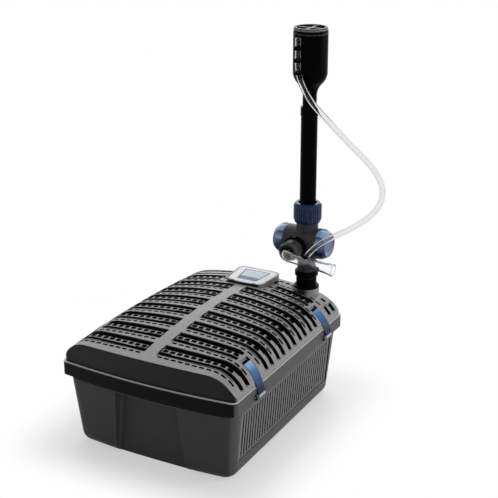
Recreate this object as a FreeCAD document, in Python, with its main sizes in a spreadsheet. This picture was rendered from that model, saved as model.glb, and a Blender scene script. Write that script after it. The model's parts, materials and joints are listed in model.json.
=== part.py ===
"""Pressurised pond filter with a fountain riser.

A black tub is closed by a double-crowned cover whose fanned slits let the pond water in. Inside are
foams, a basket of media rings, a UVC unit and a pump. The pump feeds a riser at the rear right: a
swivelling distributor with two regulators and an air-mixing tube, a ball joint under a clamp nut, a
telescopic riser pipe and a spray nozzle, with a clear air hose from the tube up to the nozzle.

Frame: millimetres, x across, y along with the front at -y, z up, origin on the ground under the tub.
"""
import FreeCAD, Part
import math
import os
import re
import Sketcher
from FreeCAD import Placement, Rotation, Vector

SIZES = {
    # tub
    "tub_height": 133.0,
    "tub_half_width": 141.5,
    "tub_half_length": 172.5,
    "tub_draft": 0.0865,
    "tub_corner": 20.0,
    "tub_foot_round": 17.0,
    "tub_wall": 3.0,
    "end_bow": 9.0,
    "rim_half_width": 145.0,
    "rim_half_length": 176.0,
    "rim_depth": 20.0,
    "rim_corner": 10.0,
    "bay_half_width": 60.0,
    "bay_lean": 8.0,
    "bay_top": 106.0,
    "bay_depth": 18.0,
    "grille_half_length": 146.0,
    "grille_low": 30.0,
    "grille_high": 98.0,
    "grille_depth": 2.0,
    "grille_pitch": 8.0,
    "grille_slit": 3.4,
    # cover
    "cover_half_width": 143.0,
    "cover_half_length": 172.0,
    "cover_corner": 9.0,
    "cover_wall": 4.0,
    "cover_lip": 3.0,
    "spine_height": 182.8,
    "spine_fall": 12.4,
    "side_fall": 9.7,
    "side_fall_front": 7.7,
    "side_fall_from": 75.0,
    "shoulder_start": 100.0,
    "tongue_depth": 6.0,
    "tongue_wall": 2.0,
    "spine_half_width": 9.7,
    "slit_count": 9,
    "slit_pitch": 39.7,
    "slit_first": -135.5,
    "slit_last_shift": 4.6,
    "slit_gap": 18.5,
    "wide_slit": 7.0,
    "wide_slit_end": 9.5,
    "narrow_slit": 4.7,
    "narrow_slit_end": 9.0,
    "slit_low": 141.0,
    "fan_rate": 0.075,
    "fan_centre": 30.0,
    # clips
    "clip_front": -106.0,
    "clip_rear": 116.0,
    "clip_width": 18.0,
    "clip_channel": 20.0,
    "clip_channel_from": 118.0,
    "clip_reach": 125.0,
    "clip_thick": 3.5,
    "clip_proud": 0.4,
    "clip_seat": 4.0,
    "hinge_reach": 145.6,
    "hinge_height": 119.0,
    "hinge_radius": 4.2,
    "hinge_ear": 5.0,
    "pin_radius": 1.5,
    "pin_gap": 0.05,
    # label
    "plate_front": 112.0,
    "plate_rear": 174.0,
    "plate_front_width": 66.0,
    "plate_rear_width": 76.0,
    "plate_height": 182.0,
    "plate_corner": 12.0,
    "plate_border": 3.0,
    "plate_thick": 1.5,
    # riser base
    "riser_across": 88.0,
    "riser_along": 160.0,
    "foot_top": 175.0,
    "foot_radius": 19.0,
    "foot_spread": 28.0,
    "socket_radius": 16.2,
    "socket_top": 190.7,
    "socket_low": 152.0,
    "socket_tube": 14.3,
    "flange_radius": 20.0,
    "flange_thick": 3.0,
    "outlet_radius": 13.0,
    "outlet_wall": 2.5,
    "outlet_top": 172.0,
    # distributor
    "spigot_radius": 13.4,
    "spigot_low": 179.0,
    "bore_radius": 9.5,
    "collar_radius": 18.5,
    "collar_low": 192.5,
    "collar_high": 202.8,
    "drum_radius": 24.0,
    "drum_half": 27.0,
    "drum_height": 250.0,
    "drum_offset": -6.0,
    "drum_bore": 15.0,
    "throat_radius": 15.0,
    "neck_radius": 17.2,
    "neck_top": 283.8,
    "port_offset": -8.0,
    "port_height": 247.0,
    "port_radius": 14.0,
    "port_ring_radius": 18.5,
    "port_ring_from": 24.3,
    "port_ring_to": 33.0,
    "insert_radius": 15.5,
    "insert_to": 48.0,
    "insert_lip": 54.0,
    "knob_radius": 24.0,
    "knob_end_radius": 18.5,
    "knob_thick": 17.5,
    "knob_dish": 2.0,
    "knob_count": 6,
    "knob_scallop": 11.0,
    "stem_radius": 4.0,
    "ball_height": 297.0,
    "ball_radius": 16.5,
    "cup_radius": 19.0,
    "nut_radius": 22.0,
    "nut_low": 284.0,
    "nut_high": 315.0,
    "nut_scallop": 2.2,
    "nut_count": 18,
    # riser and nozzle
    "pipe_radius": 12.75,
    "pipe_low": 317.5,
    "pipe_top": 466.6,
    "pipe_collar": 13.5,
    "pipe_collar_low": 452.0,
    "stem_tube": 10.7,
    "stem_bore": 8.3,
    "stem_low": 340.0,
    "stem_top": 485.0,
    "head_low": 517.0,
    "head_high": 577.0,
    "head_radius": 26.2,
    "head_wall": 2.4,
    "cap_top": 586.0,
    "cap_radius": 25.4,
    # air-mixing tube and hose
    "mixer_radius": 8.0,
    "mixer_wall": 1.4,
    "mixer_along": 94.0,
    "mixer_reach": 163.0,
    "mixer_fall": 9.0,
    "mixer_bend": 14.0,
    "mixer_flare": 9.6,
    "nipple_length": 12.0,
    "hose_radius": 4.5,
    "hose_cut": 172.5,
    "hose_clip_height": 4.5,
    # pump
    "pump_across": 88.0,
    "pump_along": 125.0,
    "pump_height": 45.0,
    "volute_radius": 27.0,
    "volute_width": 26.4,
    "volute_chamber": 22.0,
    "motor_radius": 30.0,
    "motor_length": 68.0,
    "discharge_offset": 17.0,
    "discharge_top": 96.0,
    "rotor_radius": 9.0,
    "rotor_gap": 1.0,
    "rotor_length": 50.0,
    "impeller_radius": 19.0,
    "shaft_radius": 2.0,
    "pump_foot": 11.0,
    "pump_foot_radius": 6.0,
    # uvc unit
    "uvc_across": -80.0,
    "uvc_height": 45.0,
    "uvc_front": -50.0,
    "uvc_rear": 122.0,
    "uvc_radius": 25.0,
    "uvc_wall": 2.5,
    "quartz_radius": 12.0,
    "quartz_wall": 1.5,
    "lamp_radius": 6.5,
    # filter media
    "foam_half_width": 102.0,
    "foam_height": 112.0,
    "foam_front": -149.0,
    "foam_middle": -108.0,
    "foam_rear": -66.0,
    "basket_left": -16.0,
    "basket_right": 100.0,
    "basket_front": -56.0,
    "basket_rear": 72.0,
    "basket_height": 92.0,
    "basket_wall": 2.5,
    "media_radius": 18.0,
    "media_length": 70.0,
    # cable gland
    "gland_across": 30.0,
    "gland_height": 88.0,
    "gland_radius": 8.0,
    # clearances
    "fit_gap": 0.3,
    "running_gap": 0.08,
}

HOSE_ROUTE = [
    (119, 95.5, 253), (126, 97.6, 263), (140, 101, 275.5), (160, 104, 289), (185, 106, 304),
    (212, 108, 325), (228.5, 109.5, 347), (232, 111, 370), (221, 112.5, 391), (202, 114, 409),
    (180, 116, 425), (157, 117.5, 443), (135, 119.5, 461), (115, 121.5, 477), (102, 123.5, 490),
    (92, 125.5, 503.5), (84.5, 127.5, 519), (82, 128.3, 537), (82.2, 128.5, 556), (82, 128.4, 575),
]

doc = FreeCAD.newDocument("pond_filter")
sheet = doc.addObject("Spreadsheet::Sheet", "Sizes")
for row, (alias, number) in enumerate(SIZES.items(), start=1):
    sheet.set(f"A{row}", alias)
    sheet.set(f"B{row}", str(number))
    sheet.setAlias(f"B{row}", alias)
doc.recompute()

WORD = re.compile(r"[a-z][a-z_]+")
NODES = []


# ---------------------------------------------------------------- sizes and sketches
def bound(text):
    """An expression of named sizes as the document's own expression."""
    return WORD.sub(lambda m: f"Sizes.{m.group(0)}" if m.group(0) in SIZES else m.group(0), str(text))


def size(text):
    """The value of an expression of named sizes."""
    return float(sheet.evalExpression(bound(text)))


def plane(body, role):
    return next(part for part in body.Origin.OriginFeatures if part.Role == role)


def new_sketch(body, name, role="XY_Plane"):
    sketch = body.newObject("Sketcher::SketchObject", f"{body.Name}_{name}")
    sketch.AttachmentSupport = [(plane(body, role), "")]
    sketch.MapMode = "FlatFace"
    sketch.Visibility = False
    return sketch


def bend(start, end, radius, turn):
    """Middle point of the minor arc that leaves start and turns left or right to end."""
    chord = end - start
    side = Vector(-chord.y, chord.x, 0).normalize() * (1 if turn == "left" else -1)
    depth = radius - math.sqrt(max(radius**2 - (chord.Length / 2) ** 2, 0))
    return (start + end) / 2 - side * depth


def outline(sketch, points):
    """Closed outline of (x, y) expressions; (x, y, radius, turn) starts an arc to the next point."""
    corners = [Vector(size(point[0]), size(point[1]), 0) for point in points]
    ends = []
    for index, point in enumerate(points):
        start, end = corners[index], corners[(index + 1) % len(points)]
        if len(point) == 2:
            ends.append((sketch.addGeometry(Part.LineSegment(start, end), False), 1, 2))
            continue
        middle = bend(start, end, size(point[2]), point[3])
        edge = sketch.addGeometry(Part.Arc(start, middle, end), False)
        ends.append((edge, 1, 2) if point[3] == "left" else (edge, 2, 1))
        limit = sketch.addConstraint(Sketcher.Constraint("Radius", edge, size(point[2])))
        sketch.setExpression(f"Constraints[{limit}]", bound(point[2]))
    for index, point in enumerate(points):
        edge, first, last = ends[index]
        follower, follower_first, _ = ends[(index + 1) % len(points)]
        sketch.addConstraint(Sketcher.Constraint("Coincident", edge, last, follower, follower_first))
        fix_point(sketch, edge, first, point[0], point[1])


def fix_point(sketch, edge, end, across, up):
    for kind, text, axis in (("DistanceX", across, -2), ("DistanceY", up, -1)):
        value = size(text)
        if abs(value) < 1e-9:
            sketch.addConstraint(Sketcher.Constraint("PointOnObject", edge, end, axis))
            continue
        limit = sketch.addConstraint(Sketcher.Constraint(kind, -1, 1, edge, end, value))
        sketch.setExpression(f"Constraints[{limit}]", bound(text))


AXES = {
    "z": Rotation(),
    "x": Rotation(Vector(0, 1, 0), 90),
    "-x": Rotation(Vector(0, 1, 0), -90),
    "y": Rotation(Vector(1, 0, 0), -90),
    "-y": Rotation(Vector(1, 0, 0), 90),
}


def place(obj, at, axis="z"):
    """Puts an object at three expressions, with its own z axis along the named axis."""
    obj.Placement = Placement(Vector(*[size(text) for text in at]), AXES[axis])
    for name, text in zip("xyz", at):
        obj.setExpression(f"Placement.Base.{name}", bound(text))
    return obj


def new_body(label):
    body = doc.addObject("PartDesign::Body", label)
    body.Label = label
    return body


def turned(label, profile, at, axis="z"):
    """A body turned from an (radius, height) outline about its own z axis."""
    body = new_body(label)
    sketch = new_sketch(body, "profile", "XZ_Plane")
    outline(sketch, profile)
    turn = body.newObject("PartDesign::Revolution", f"{label}_turn")
    turn.Profile = sketch
    turn.ReferenceAxis = (sketch, ["V_Axis"])
    turn.Angle = 360
    body.Tip = turn
    return place(body, at, axis)


def padded(label, profile, height, at, axis="z"):
    """A body padded upwards from an (x, y) outline."""
    body = new_body(label)
    sketch = new_sketch(body, "outline")
    outline(sketch, profile)
    pad = body.newObject("PartDesign::Pad", f"{label}_pad")
    pad.Profile = sketch
    pad.setExpression("Length", bound(height))
    body.Tip = pad
    return place(body, at, axis)


def box_outline(left, front, right, rear):
    return [(left, front), (right, front), (right, rear), (left, rear)]


def ring_profile(inner, outer, low, high):
    return [(inner, low), (outer, low), (outer, high), (inner, high)]


def scalloped(body, radius, distance, count):
    """Cuts round flutes into the edge of a body, evenly about its z axis."""
    sketch = new_sketch(body, "flute")
    circle = sketch.addGeometry(Part.Circle(Vector(size(distance), 0, 0), Vector(0, 0, 1), size(radius)))
    limit = sketch.addConstraint(Sketcher.Constraint("Radius", circle, size(radius)))
    sketch.setExpression(f"Constraints[{limit}]", bound(radius))
    fix_point(sketch, circle, 3, distance, "0")
    pocket = body.newObject("PartDesign::Pocket", f"{body.Name}_flute_cut")
    pocket.Profile = sketch
    pocket.Type = "ThroughAll"
    pocket.SideType = "Symmetric"
    body.Tip = pocket
    pattern = body.newObject("PartDesign::PolarPattern", f"{body.Name}_flutes")
    pattern.Originals = [pocket]
    pattern.Axis = (plane(body, "Z_Axis"), [""])
    pattern.Angle = 360
    pattern.setExpression("Occurrences", bound(count))
    body.Tip = pattern
    return body


def rod(name, radius, length, at, axis="z"):
    """A cylinder primitive along the named axis."""
    cylinder = doc.addObject("Part::Cylinder", name)
    cylinder.setExpression("Radius", bound(radius))
    cylinder.setExpression("Height", bound(length))
    return place(cylinder, at, axis)


def block(name, corner, extent):
    """A box primitive from its low corner and its three lengths."""
    box = doc.addObject("Part::Box", name)
    for side, text in zip(("Length", "Width", "Height"), extent):
        box.setExpression(side, bound(text))
    return place(box, corner)


def fused(name, pieces):
    fuse = doc.addObject("Part::MultiFuse", name)
    fuse.Shapes = pieces
    fuse.Label = name
    return fuse


def cut(name, base, tools):
    cutter = tools[0] if len(tools) == 1 else fused(f"{name}_cutter", tools)
    result = doc.addObject("Part::Cut", name)
    result.Base = base
    result.Tool = cutter
    result.Label = name
    return result


def grouped(name, pieces):
    group = doc.addObject("Part::Compound", name)
    group.Links = pieces
    group.Label = name
    return group


def feature(label, shape):
    """A sub-part whose shape is worked out from the sheet with Part's functions."""
    piece = doc.addObject("Part::Feature", label)
    piece.Label = label
    piece.Shape = shape
    return piece


def mirrored(label, source):
    mirror = doc.addObject("Part::Mirroring", label)
    mirror.Source = source
    mirror.Normal = Vector(1, 0, 0)
    mirror.Base = Vector(0, 0, 0)
    mirror.Label = label
    return mirror


def node(piece):
    """Marks a finished sub-part for export."""
    NODES.append(piece)
    return piece


# ---------------------------------------------------------------- plan outlines and prisms
def plan_face(half_width, half_length, bow, corner, height):
    """Face with straight sides, bowed ends and round corners at one height."""
    sharp = [
        Vector(half_width, half_length, height),
        Vector(-half_width, half_length, height),
        Vector(-half_width, -half_length, height),
        Vector(half_width, -half_length, height),
    ]
    rear = Part.Arc(sharp[0], Vector(0, half_length + bow, height), sharp[1]).toShape()
    front = Part.Arc(sharp[2], Vector(0, -half_length - bow, height), sharp[3]).toShape()
    sides = [Part.makeLine(sharp[1], sharp[2]), Part.makeLine(sharp[3], sharp[0])]
    face = Part.Face(Part.Wire([rear, sides[0], front, sides[1]]))
    return face.makeOffset2D(-corner).makeOffset2D(corner)


def prism(face, low, high):
    """Solid of a face that lies at zero height, from low to high."""
    solid = face.extrude(Vector(0, 0, high - low))
    solid.translate(Vector(0, 0, low))
    return solid


def wall_box(low, high):
    """Box between two corners."""
    return Part.makeBox(high[0] - low[0], high[1] - low[1], high[2] - low[2], Vector(*low))


# ---------------------------------------------------------------- tub
def tub_plan(height, inset):
    taper = (size("tub_height") - height) * size("tub_draft") + inset
    return plan_face(size("tub_half_width") - taper, size("tub_half_length") - taper,
                     size("end_bow"), size("tub_corner") - inset, height)


def tub_block(inset, low):
    """Tapered tub solid, its walls moved in by inset and its floor at low."""
    top = size("tub_height")
    sections = [tub_plan(height, inset).OuterWire for height in (low, top)]
    solid = Part.makeLoft(sections, True, True)
    foot = [edge for edge in solid.Edges if abs(edge.CenterOfMass.z - low) < 0.01]
    return solid.makeFillet(size("tub_foot_round") - inset, foot)


def side_wedge(inset, reach, low, high):
    """Flat-sided wedge as wide as the tapered tub, for the middle of its long walls."""
    def across(height):
        return size("tub_half_width") - (size("tub_height") - height) * size("tub_draft") - inset

    corners = [Vector(side * across(height), -reach, height)
               for side, height in ((-1, low), (1, low), (1, high), (-1, high))]
    return Part.Face(Part.makePolygon(corners + corners[:1])).extrude(Vector(0, 2 * reach, 0))


def tub_form(inset):
    """Tub outside (inset 0) or inside (inset the wall), with the front bay and the grille panels."""
    low = inset
    reach = size("grille_half_length") + inset
    bottom, top = size("grille_low") - 4 - inset, size("grille_high") + 4 + inset
    panels = Part.makeCompound([wall_box((side, -reach, bottom), (side + 80, reach, top))
                                for side in (-180, 100)])
    sunk = side_wedge(inset + size("grille_depth"), reach, bottom, top)
    form = tub_block(inset, low).cut(panels).fuse(sunk)
    return form.cut(front_bay(inset)).removeSplitter()


def front_bay(inset):
    """Prism that pushes the middle of the front wall back."""
    foot = size("bay_half_width") + inset
    head = foot - size("bay_lean")
    top = size("bay_top") + inset
    front = -size("tub_half_length") - size("end_bow") - 20
    floor = -size("tub_half_length") - size("end_bow") + size("bay_depth") + 5 + inset
    corners = [(-foot, -1), (foot, -1), (head, top), (-head, top)]
    points = [Vector(across, front, up) for across, up in corners]
    face = Part.Face(Part.makePolygon(points + points[:1]))
    solid = face.extrude(Vector(0, floor - front, 0))
    creases = [edge for edge in solid.Edges
               if abs(edge.CenterOfMass.z - top / 2) < top / 2 + 1 and edge.CenterOfMass.z > 1
               and abs(edge.CenterOfMass.y - floor) < 0.01]
    return solid.makeFillet(5 + inset, creases)


def grille_slits():
    """Upright slits through both side panels."""
    pitch = size("grille_pitch")
    count = int((2 * size("grille_half_length") - pitch) // pitch)
    first = -(count - 1) * pitch / 2
    half = size("grille_slit") / 2
    slits = []
    for index in range(count):
        along = first + index * pitch
        for side in (-180, 100):
            slits.append(wall_box((side, along - half, size("grille_low")),
                                  (side + 80, along + half, size("grille_high"))))
    return Part.makeCompound(slits)


def hinge_rod(radius, along, length, side):
    """Cylinder on a clip's hinge axis."""
    centre = Vector(side * size("hinge_reach"), along - length / 2, size("hinge_height"))
    return Part.makeCylinder(radius, length, centre, Vector(0, 1, 0))


def clip_places():
    return [(side, size(along)) for along in ("clip_front", "clip_rear") for side in (-1, 1)]


def side_box(side, inner, outer, along, width, low, high):
    """Box on one side of the object, between two distances from the middle."""
    left, right = sorted((side * inner, side * outer))
    return wall_box((left, along - width / 2, low), (right, along + width / 2, high))


def lower_tub():
    top, wall = size("tub_height"), size("tub_wall")
    outside = tub_form(0)
    inside = tub_form(wall)
    rim_face = plan_face(size("rim_half_width"), size("rim_half_length"), size("end_bow"),
                         size("rim_corner"), 0)
    rim = prism(rim_face, top - size("rim_depth"), top)
    channel = size("clip_channel")
    notch_floor = size("hinge_reach") - size("hinge_radius") - 0.4
    ears = []
    notches = []
    for side, along in clip_places():
        notches.append(side_box(side, notch_floor, size("hinge_reach") + 20, along, channel, 100, top + 5))
        for end in (-1, 1):
            middle = along + end * (channel + size("hinge_ear")) / 2
            ears.append(hinge_rod(size("hinge_radius") - 0.2, middle, size("hinge_ear"), side))
    gland = Vector(size("gland_across"), size("tub_half_length"), size("gland_height"))
    pad = Part.makeCylinder(size("gland_radius") + 6, 9.5, gland, Vector(0, 1, 0))
    tub = outside.fuse([rim, pad]).cut(inside).cut(Part.makeCompound(notches)).fuse(ears)
    pins = [hinge_rod(size("pin_radius + pin_gap"), along, channel + 2 * size("hinge_ear") + 1, side)
            for side, along in clip_places()]
    hole = Part.makeCylinder(size("gland_radius + fit_gap"), 40, gland - Vector(0, 20, 0), Vector(0, 1, 0))
    return feature("lower_tub", tub.cut(Part.makeCompound(pins + [hole, grille_slits()])))


# ---------------------------------------------------------------- cover
def spine_at(along):
    """Height of the cover's spine."""
    return size("spine_height") - size("spine_fall") * (along / size("cover_half_length")) ** 2


def side_fall_at(along):
    """How far the crosswise crown falls from the spine to the shoulder."""
    reach = (along - size("side_fall_from")) / (size("cover_half_length") + size("side_fall_from"))
    return size("side_fall") - size("side_fall_front") * reach**2


def cover_curve(along, inset):
    """Edges across the cover from the left lip over the crown to the right lip."""
    half = size("cover_half_width") - inset
    lip = size("tub_height + cover_lip")
    shoulder = size("shoulder_start")
    apex = spine_at(along) - inset
    fall = side_fall_at(along)
    crown_radius = (shoulder**2 + fall**2) / (2 * fall)
    slope = math.asin(shoulder / crown_radius)
    start = Vector(shoulder, along, apex - fall)
    end = Vector(half, along, lip)
    inward = Vector(-math.sin(slope), 0, -math.cos(slope))
    step = end - start
    centre = start + inward * (step.dot(step) / (2 * step.dot(inward)))
    radius = (start - centre).Length
    middle = centre + ((start - centre) + (end - centre)).normalize() * radius
    flip = Vector(-1, 1, 1)
    left = [Vector(*[a * b for a, b in zip(point, flip)]) for point in (end, middle, start)]
    return [
        Part.Arc(*left).toShape(),
        Part.Arc(left[2], Vector(0, along, apex), start).toShape(),
        Part.Arc(start, middle, end).toShape(),
    ]


def cover_section(along, inset, low):
    """Closed section of the cover at one place along it."""
    curve = cover_curve(along, inset)
    half = size("cover_half_width") - inset
    lip = size("tub_height + cover_lip")
    corners = [Vector(half, along, lip), Vector(half, along, low),
               Vector(-half, along, low), Vector(-half, along, lip)]
    lines = [Part.makeLine(corners[index], corners[index + 1]) for index in range(3)]
    return Part.Wire(curve + lines)


def cover_block(inset, low):
    """Double-crowned solid, moved in by inset, from low up to the crown."""
    reach = size("cover_half_length + end_bow") + 5
    stations = [reach * share for share in (-1, -0.65, -0.22, 0.22, 0.65, 1)]
    crown = Part.makeLoft([cover_section(along, inset, low) for along in stations], True, False)
    face = plan_face(size("cover_half_width") - inset + 0.02, size("cover_half_length") - inset,
                     size("end_bow"), size("cover_corner") - inset, 0)
    return crown.common(prism(face, low - 1, size("spine_height") + 20))


def cover_slab(along, inset, width, reach):
    """Straight prism over the cover's section, above an inset, from reach outwards."""
    curve = cover_curve(along, inset)
    half = size("cover_half_width") - inset
    top = size("spine_height") + 30
    low = size("tub_height") - 30
    corners = [Vector(half, along, size("tub_height + cover_lip")), Vector(half, along, low),
               Vector(half + 60, along, low), Vector(half + 60, along, top),
               Vector(-half - 60, along, top), Vector(-half - 60, along, low),
               Vector(-half, along, low), Vector(-half, along, size("tub_height + cover_lip"))]
    lines = [Part.makeLine(corners[index], corners[index + 1]) for index in range(7)]
    face = Part.Face(Part.Wire(curve + lines))
    slab = face.extrude(Vector(0, width, 0))
    slab.translate(Vector(0, -width / 2, 0))
    return [slab.common(side_box(side, reach, half + 59, along, width + 2, low, top)) for side in (-1, 1)]


def slit_edge(across, rear, widths):
    """Place along the cover of one edge of a slit that fans out from the spine."""
    share = (across / size("cover_half_width")) ** 2
    fan = -size("fan_rate") * (rear + size("fan_centre"))
    return rear + fan * share - widths[0] - (widths[1] - widths[0]) * share


def slit_cutter(side, rear, widths, start, end):
    """Upright prism of one fanned slit between two distances from the spine."""
    edges = []
    for far in ((0, 0), widths):
        middle = (start + end) / 2
        first, last = slit_edge(start, rear, far), slit_edge(end, rear, far)
        lift = 2 * slit_edge(middle, rear, far) - (first + last) / 2
        curve = Part.BezierCurve()
        curve.setPoles([Vector(side * start, first, 0), Vector(side * middle, lift, 0),
                        Vector(side * end, last, 0)])
        edges.append(curve.toShape())
    rear_edge, front_edge = edges
    caps = [Part.makeLine(a.Point, b.Point) for a, b in zip(rear_edge.Vertexes, front_edge.Vertexes)]
    wire = Part.Wire(Part.sortEdges([rear_edge, caps[1], front_edge, caps[0]])[0])
    return prism(Part.Face(wire), size("slit_low"), size("spine_height") + 5)


def slit_cutters():
    """All slits: pairs of a wide and a narrow one, left out where clips, plate and riser stand."""
    last = int(size("slit_count")) - 1
    outer = size("cover_half_width") + 5
    wide = (size("wide_slit"), size("wide_slit_end"))
    narrow = (size("narrow_slit"), size("narrow_slit_end"))
    plate_side = size("plate_rear_width") / 2 + 8
    clip_side = size("clip_channel_from") - 4
    cutters = []
    for index in range(last + 1):
        rear = size("slit_first") + index * size("slit_pitch")
        for side in (-1, 1):
            start, end = size("spine_half_width"), outer
            if index in (1, last - 1):
                end = clip_side
            if index >= last - 1:
                start = plate_side
            if index == last:
                rear = size("slit_first + slit_last_shift * -1") + index * size("slit_pitch")
                start = plate_side if side < 0 else size("riser_across + foot_spread") + 10
            cutters.append(slit_cutter(side, rear, wide, start, end))
            cutters.append(slit_cutter(side, rear - size("slit_gap"), narrow, start, end))
    return Part.makeCompound(cutters)


def plate_outline(inset, height):
    """Face of the label plate: wider at the rear, its front corners rounded."""
    front, rear = size("plate_front") + inset, size("plate_rear") - inset
    near, far = size("plate_front_width") / 2 - inset, size("plate_rear_width") / 2 - inset
    points = [Vector(-near, front, height), Vector(near, front, height),
              Vector(far, rear, height), Vector(-far, rear, height)]
    bowed = Part.Arc(points[0], Vector(0, front - 3, height), points[1]).toShape()
    lines = [Part.makeLine(points[1], points[2]), Part.makeLine(points[2], points[3]),
             Part.makeLine(points[3], points[0])]
    corner = size("plate_corner") - inset
    return Part.Face(Part.Wire([bowed] + lines)).makeOffset2D(-corner).makeOffset2D(corner)


def riser_foot(low):
    """Flared foot under the riser, spread towards the middle of the cover."""
    radius, spread, top = size("foot_radius"), size("foot_spread"), size("foot_top")
    centre = Vector(size("riser_across"), size("riser_along"), top)
    head = Part.makeCircle(radius + 1.5, centre)
    waist = Part.makeCircle(radius + 2.5, Vector(centre.x - 1, centre.y, top - 4))
    base = Part.makeCircle((radius + spread) / 2, Vector(centre.x - (spread - radius) / 2, centre.y, low))
    return Part.makeLoft([Part.Wire(ring) for ring in (base, waist, head)], True, False)


def cover_tongue():
    """Lip that drops inside the tub wall and centres the cover."""
    top, depth = size("tub_height"), size("tongue_depth")
    gap = size("tub_wall + fit_gap * 3")
    inner = gap + size("tongue_wall")
    outline_face, core_face = tub_plan(top, gap), tub_plan(top, inner)
    low = prism(outline_face, -depth, 0.5).cut(prism(core_face, -depth - 1, 1))
    joining = plan_face(size("cover_half_width") - 3, size("cover_half_length") - 3, size("end_bow"),
                        size("cover_corner") - 3, top)
    high = prism(joining, 0, size("cover_lip")).cut(prism(core_face, -1, size("cover_lip") + 1))
    return low.fuse(high)


def upper_cover():
    base, wall = size("tub_height"), size("cover_wall")
    outside = cover_block(0, base)
    shell = outside.cut(cover_block(wall, base - 1))
    seats = []
    channels = []
    for along in (size("clip_front"), size("clip_rear")):
        seats += cover_slab(along, size("clip_seat") + 4, size("clip_channel") + 6,
                            size("clip_channel_from") - 4)
        channels += cover_slab(along, size("clip_seat"), size("clip_channel"), size("clip_channel_from"))
    raised = [seat.common(outside) for seat in seats]
    boss = prism(plate_outline(0, 0), size("plate_height") - 18, size("plate_height"))
    pocket = prism(plate_outline(size("plate_border"), 0), size("plate_height - plate_thick"),
                   size("plate_height") + 1)
    within = plan_face(size("cover_half_width"), size("cover_half_length") - 0.6, size("end_bow"),
                       size("cover_corner"), 0)
    foot = riser_foot(size("foot_top") - 17).common(prism(within, base, size("foot_top") + 5))
    hole = Part.makeCylinder(size("socket_tube + fit_gap"), 80,
                             Vector(size("riser_across"), size("riser_along"), 120))
    cover = shell.fuse(raised + [cover_tongue(), boss, foot])
    tools = channels + [pocket, hole, slit_cutters()]
    return feature("upper_cover", cover.cut(Part.makeCompound(tools)))


def label_plate():
    face = plate_outline(size("plate_border + fit_gap"), size("plate_height - plate_thick"))
    return feature("label_plate", face.extrude(Vector(0, 0, size("plate_thick"))))


# ---------------------------------------------------------------- clips
def clip(label, along, side):
    """Hinged clip that lies in the cover's channel and swings outwards on its pin."""
    width = size("clip_width")
    outer = cover_slab(along, -size("clip_proud"), width, size("clip_reach"))
    inner = cover_slab(along, size("clip_seat - fit_gap"), width, size("clip_reach"))
    band = inner[1].cut(outer[1]) if side > 0 else inner[0].cut(outer[0])
    lid_edge = size("tub_height")
    band = band.common(side_box(side, size("clip_reach"), size("hinge_reach") + 10, along, width,
                                lid_edge + 1, size("spine_height")))
    back = size("hinge_reach - hinge_radius")
    face_out = size("cover_half_width + clip_proud")
    seat_in = size("cover_half_width - clip_seat + fit_gap")
    hinge = size("hinge_height")
    points = [(back, hinge), (size("hinge_reach + hinge_radius"), hinge), (face_out + 2.6, lid_edge - 3),
              (face_out, lid_edge + 6), (seat_in, lid_edge + 6), (seat_in, lid_edge + 2),
              (back, lid_edge + 0.4)]
    corners = [Vector(side * across, along - width / 2, up) for across, up in points]
    leg = Part.Face(Part.makePolygon(corners + corners[:1])).extrude(Vector(0, width, 0))
    barrel = hinge_rod(size("hinge_radius"), along, width, side)
    bore = hinge_rod(size("pin_radius + pin_gap"), along, width + 2, side)
    return feature(label, band.fuse([leg, barrel]).cut(bore).removeSplitter())


def clips():
    for end, along in (("front", "clip_front"), ("rear", "clip_rear")):
        for name, side in (("left", -1), ("right", 1)):
            node(clip(f"clip_{end}_{name}", size(along), side))


def clip_pins():
    length = "clip_channel + hinge_ear * 2"
    pins = []
    for along in ("clip_front", "clip_rear"):
        for sign in ("-", ""):
            at = (f"{sign}hinge_reach", f"{along} - ({length}) / 2", "hinge_height")
            pins.append(rod("clip_pin", "pin_radius", length, at, "y"))
    return grouped("clip_pins", pins)


# ---------------------------------------------------------------- riser base and distributor
def riser_at(height, across="0", along="0"):
    return (f"riser_across + {across}", f"riser_along + {along}", height)


def riser_socket():
    profile = [
        ("outlet_radius + fit_gap", "socket_low"), ("socket_tube", "socket_low"),
        ("socket_tube", "foot_top"), ("flange_radius", "foot_top"),
        ("flange_radius", "foot_top + flange_thick - 1"), ("flange_radius - 1", "foot_top + flange_thick"),
        ("socket_radius", "foot_top + flange_thick"), ("socket_radius", "socket_top"),
        ("spigot_radius + running_gap", "socket_top"), ("spigot_radius + running_gap", "spigot_low - 1"),
        ("bore_radius + 1", "spigot_low - 1"), ("bore_radius + 1", "outlet_top + 1"),
        ("outlet_radius + fit_gap", "outlet_top + 1"),
    ]
    return turned("riser_socket", profile, riser_at("0"))


def swivel_collar():
    profile = [
        ("throat_radius + fit_gap", "collar_low"), ("collar_radius - 2.5", "collar_low"),
        ("collar_radius", "collar_low + 3"), ("collar_radius", "collar_high - 1"),
        ("collar_radius - 1", "collar_high"), ("throat_radius + fit_gap", "collar_high"),
    ]
    return turned("swivel_collar", profile, riser_at("0"))


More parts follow.
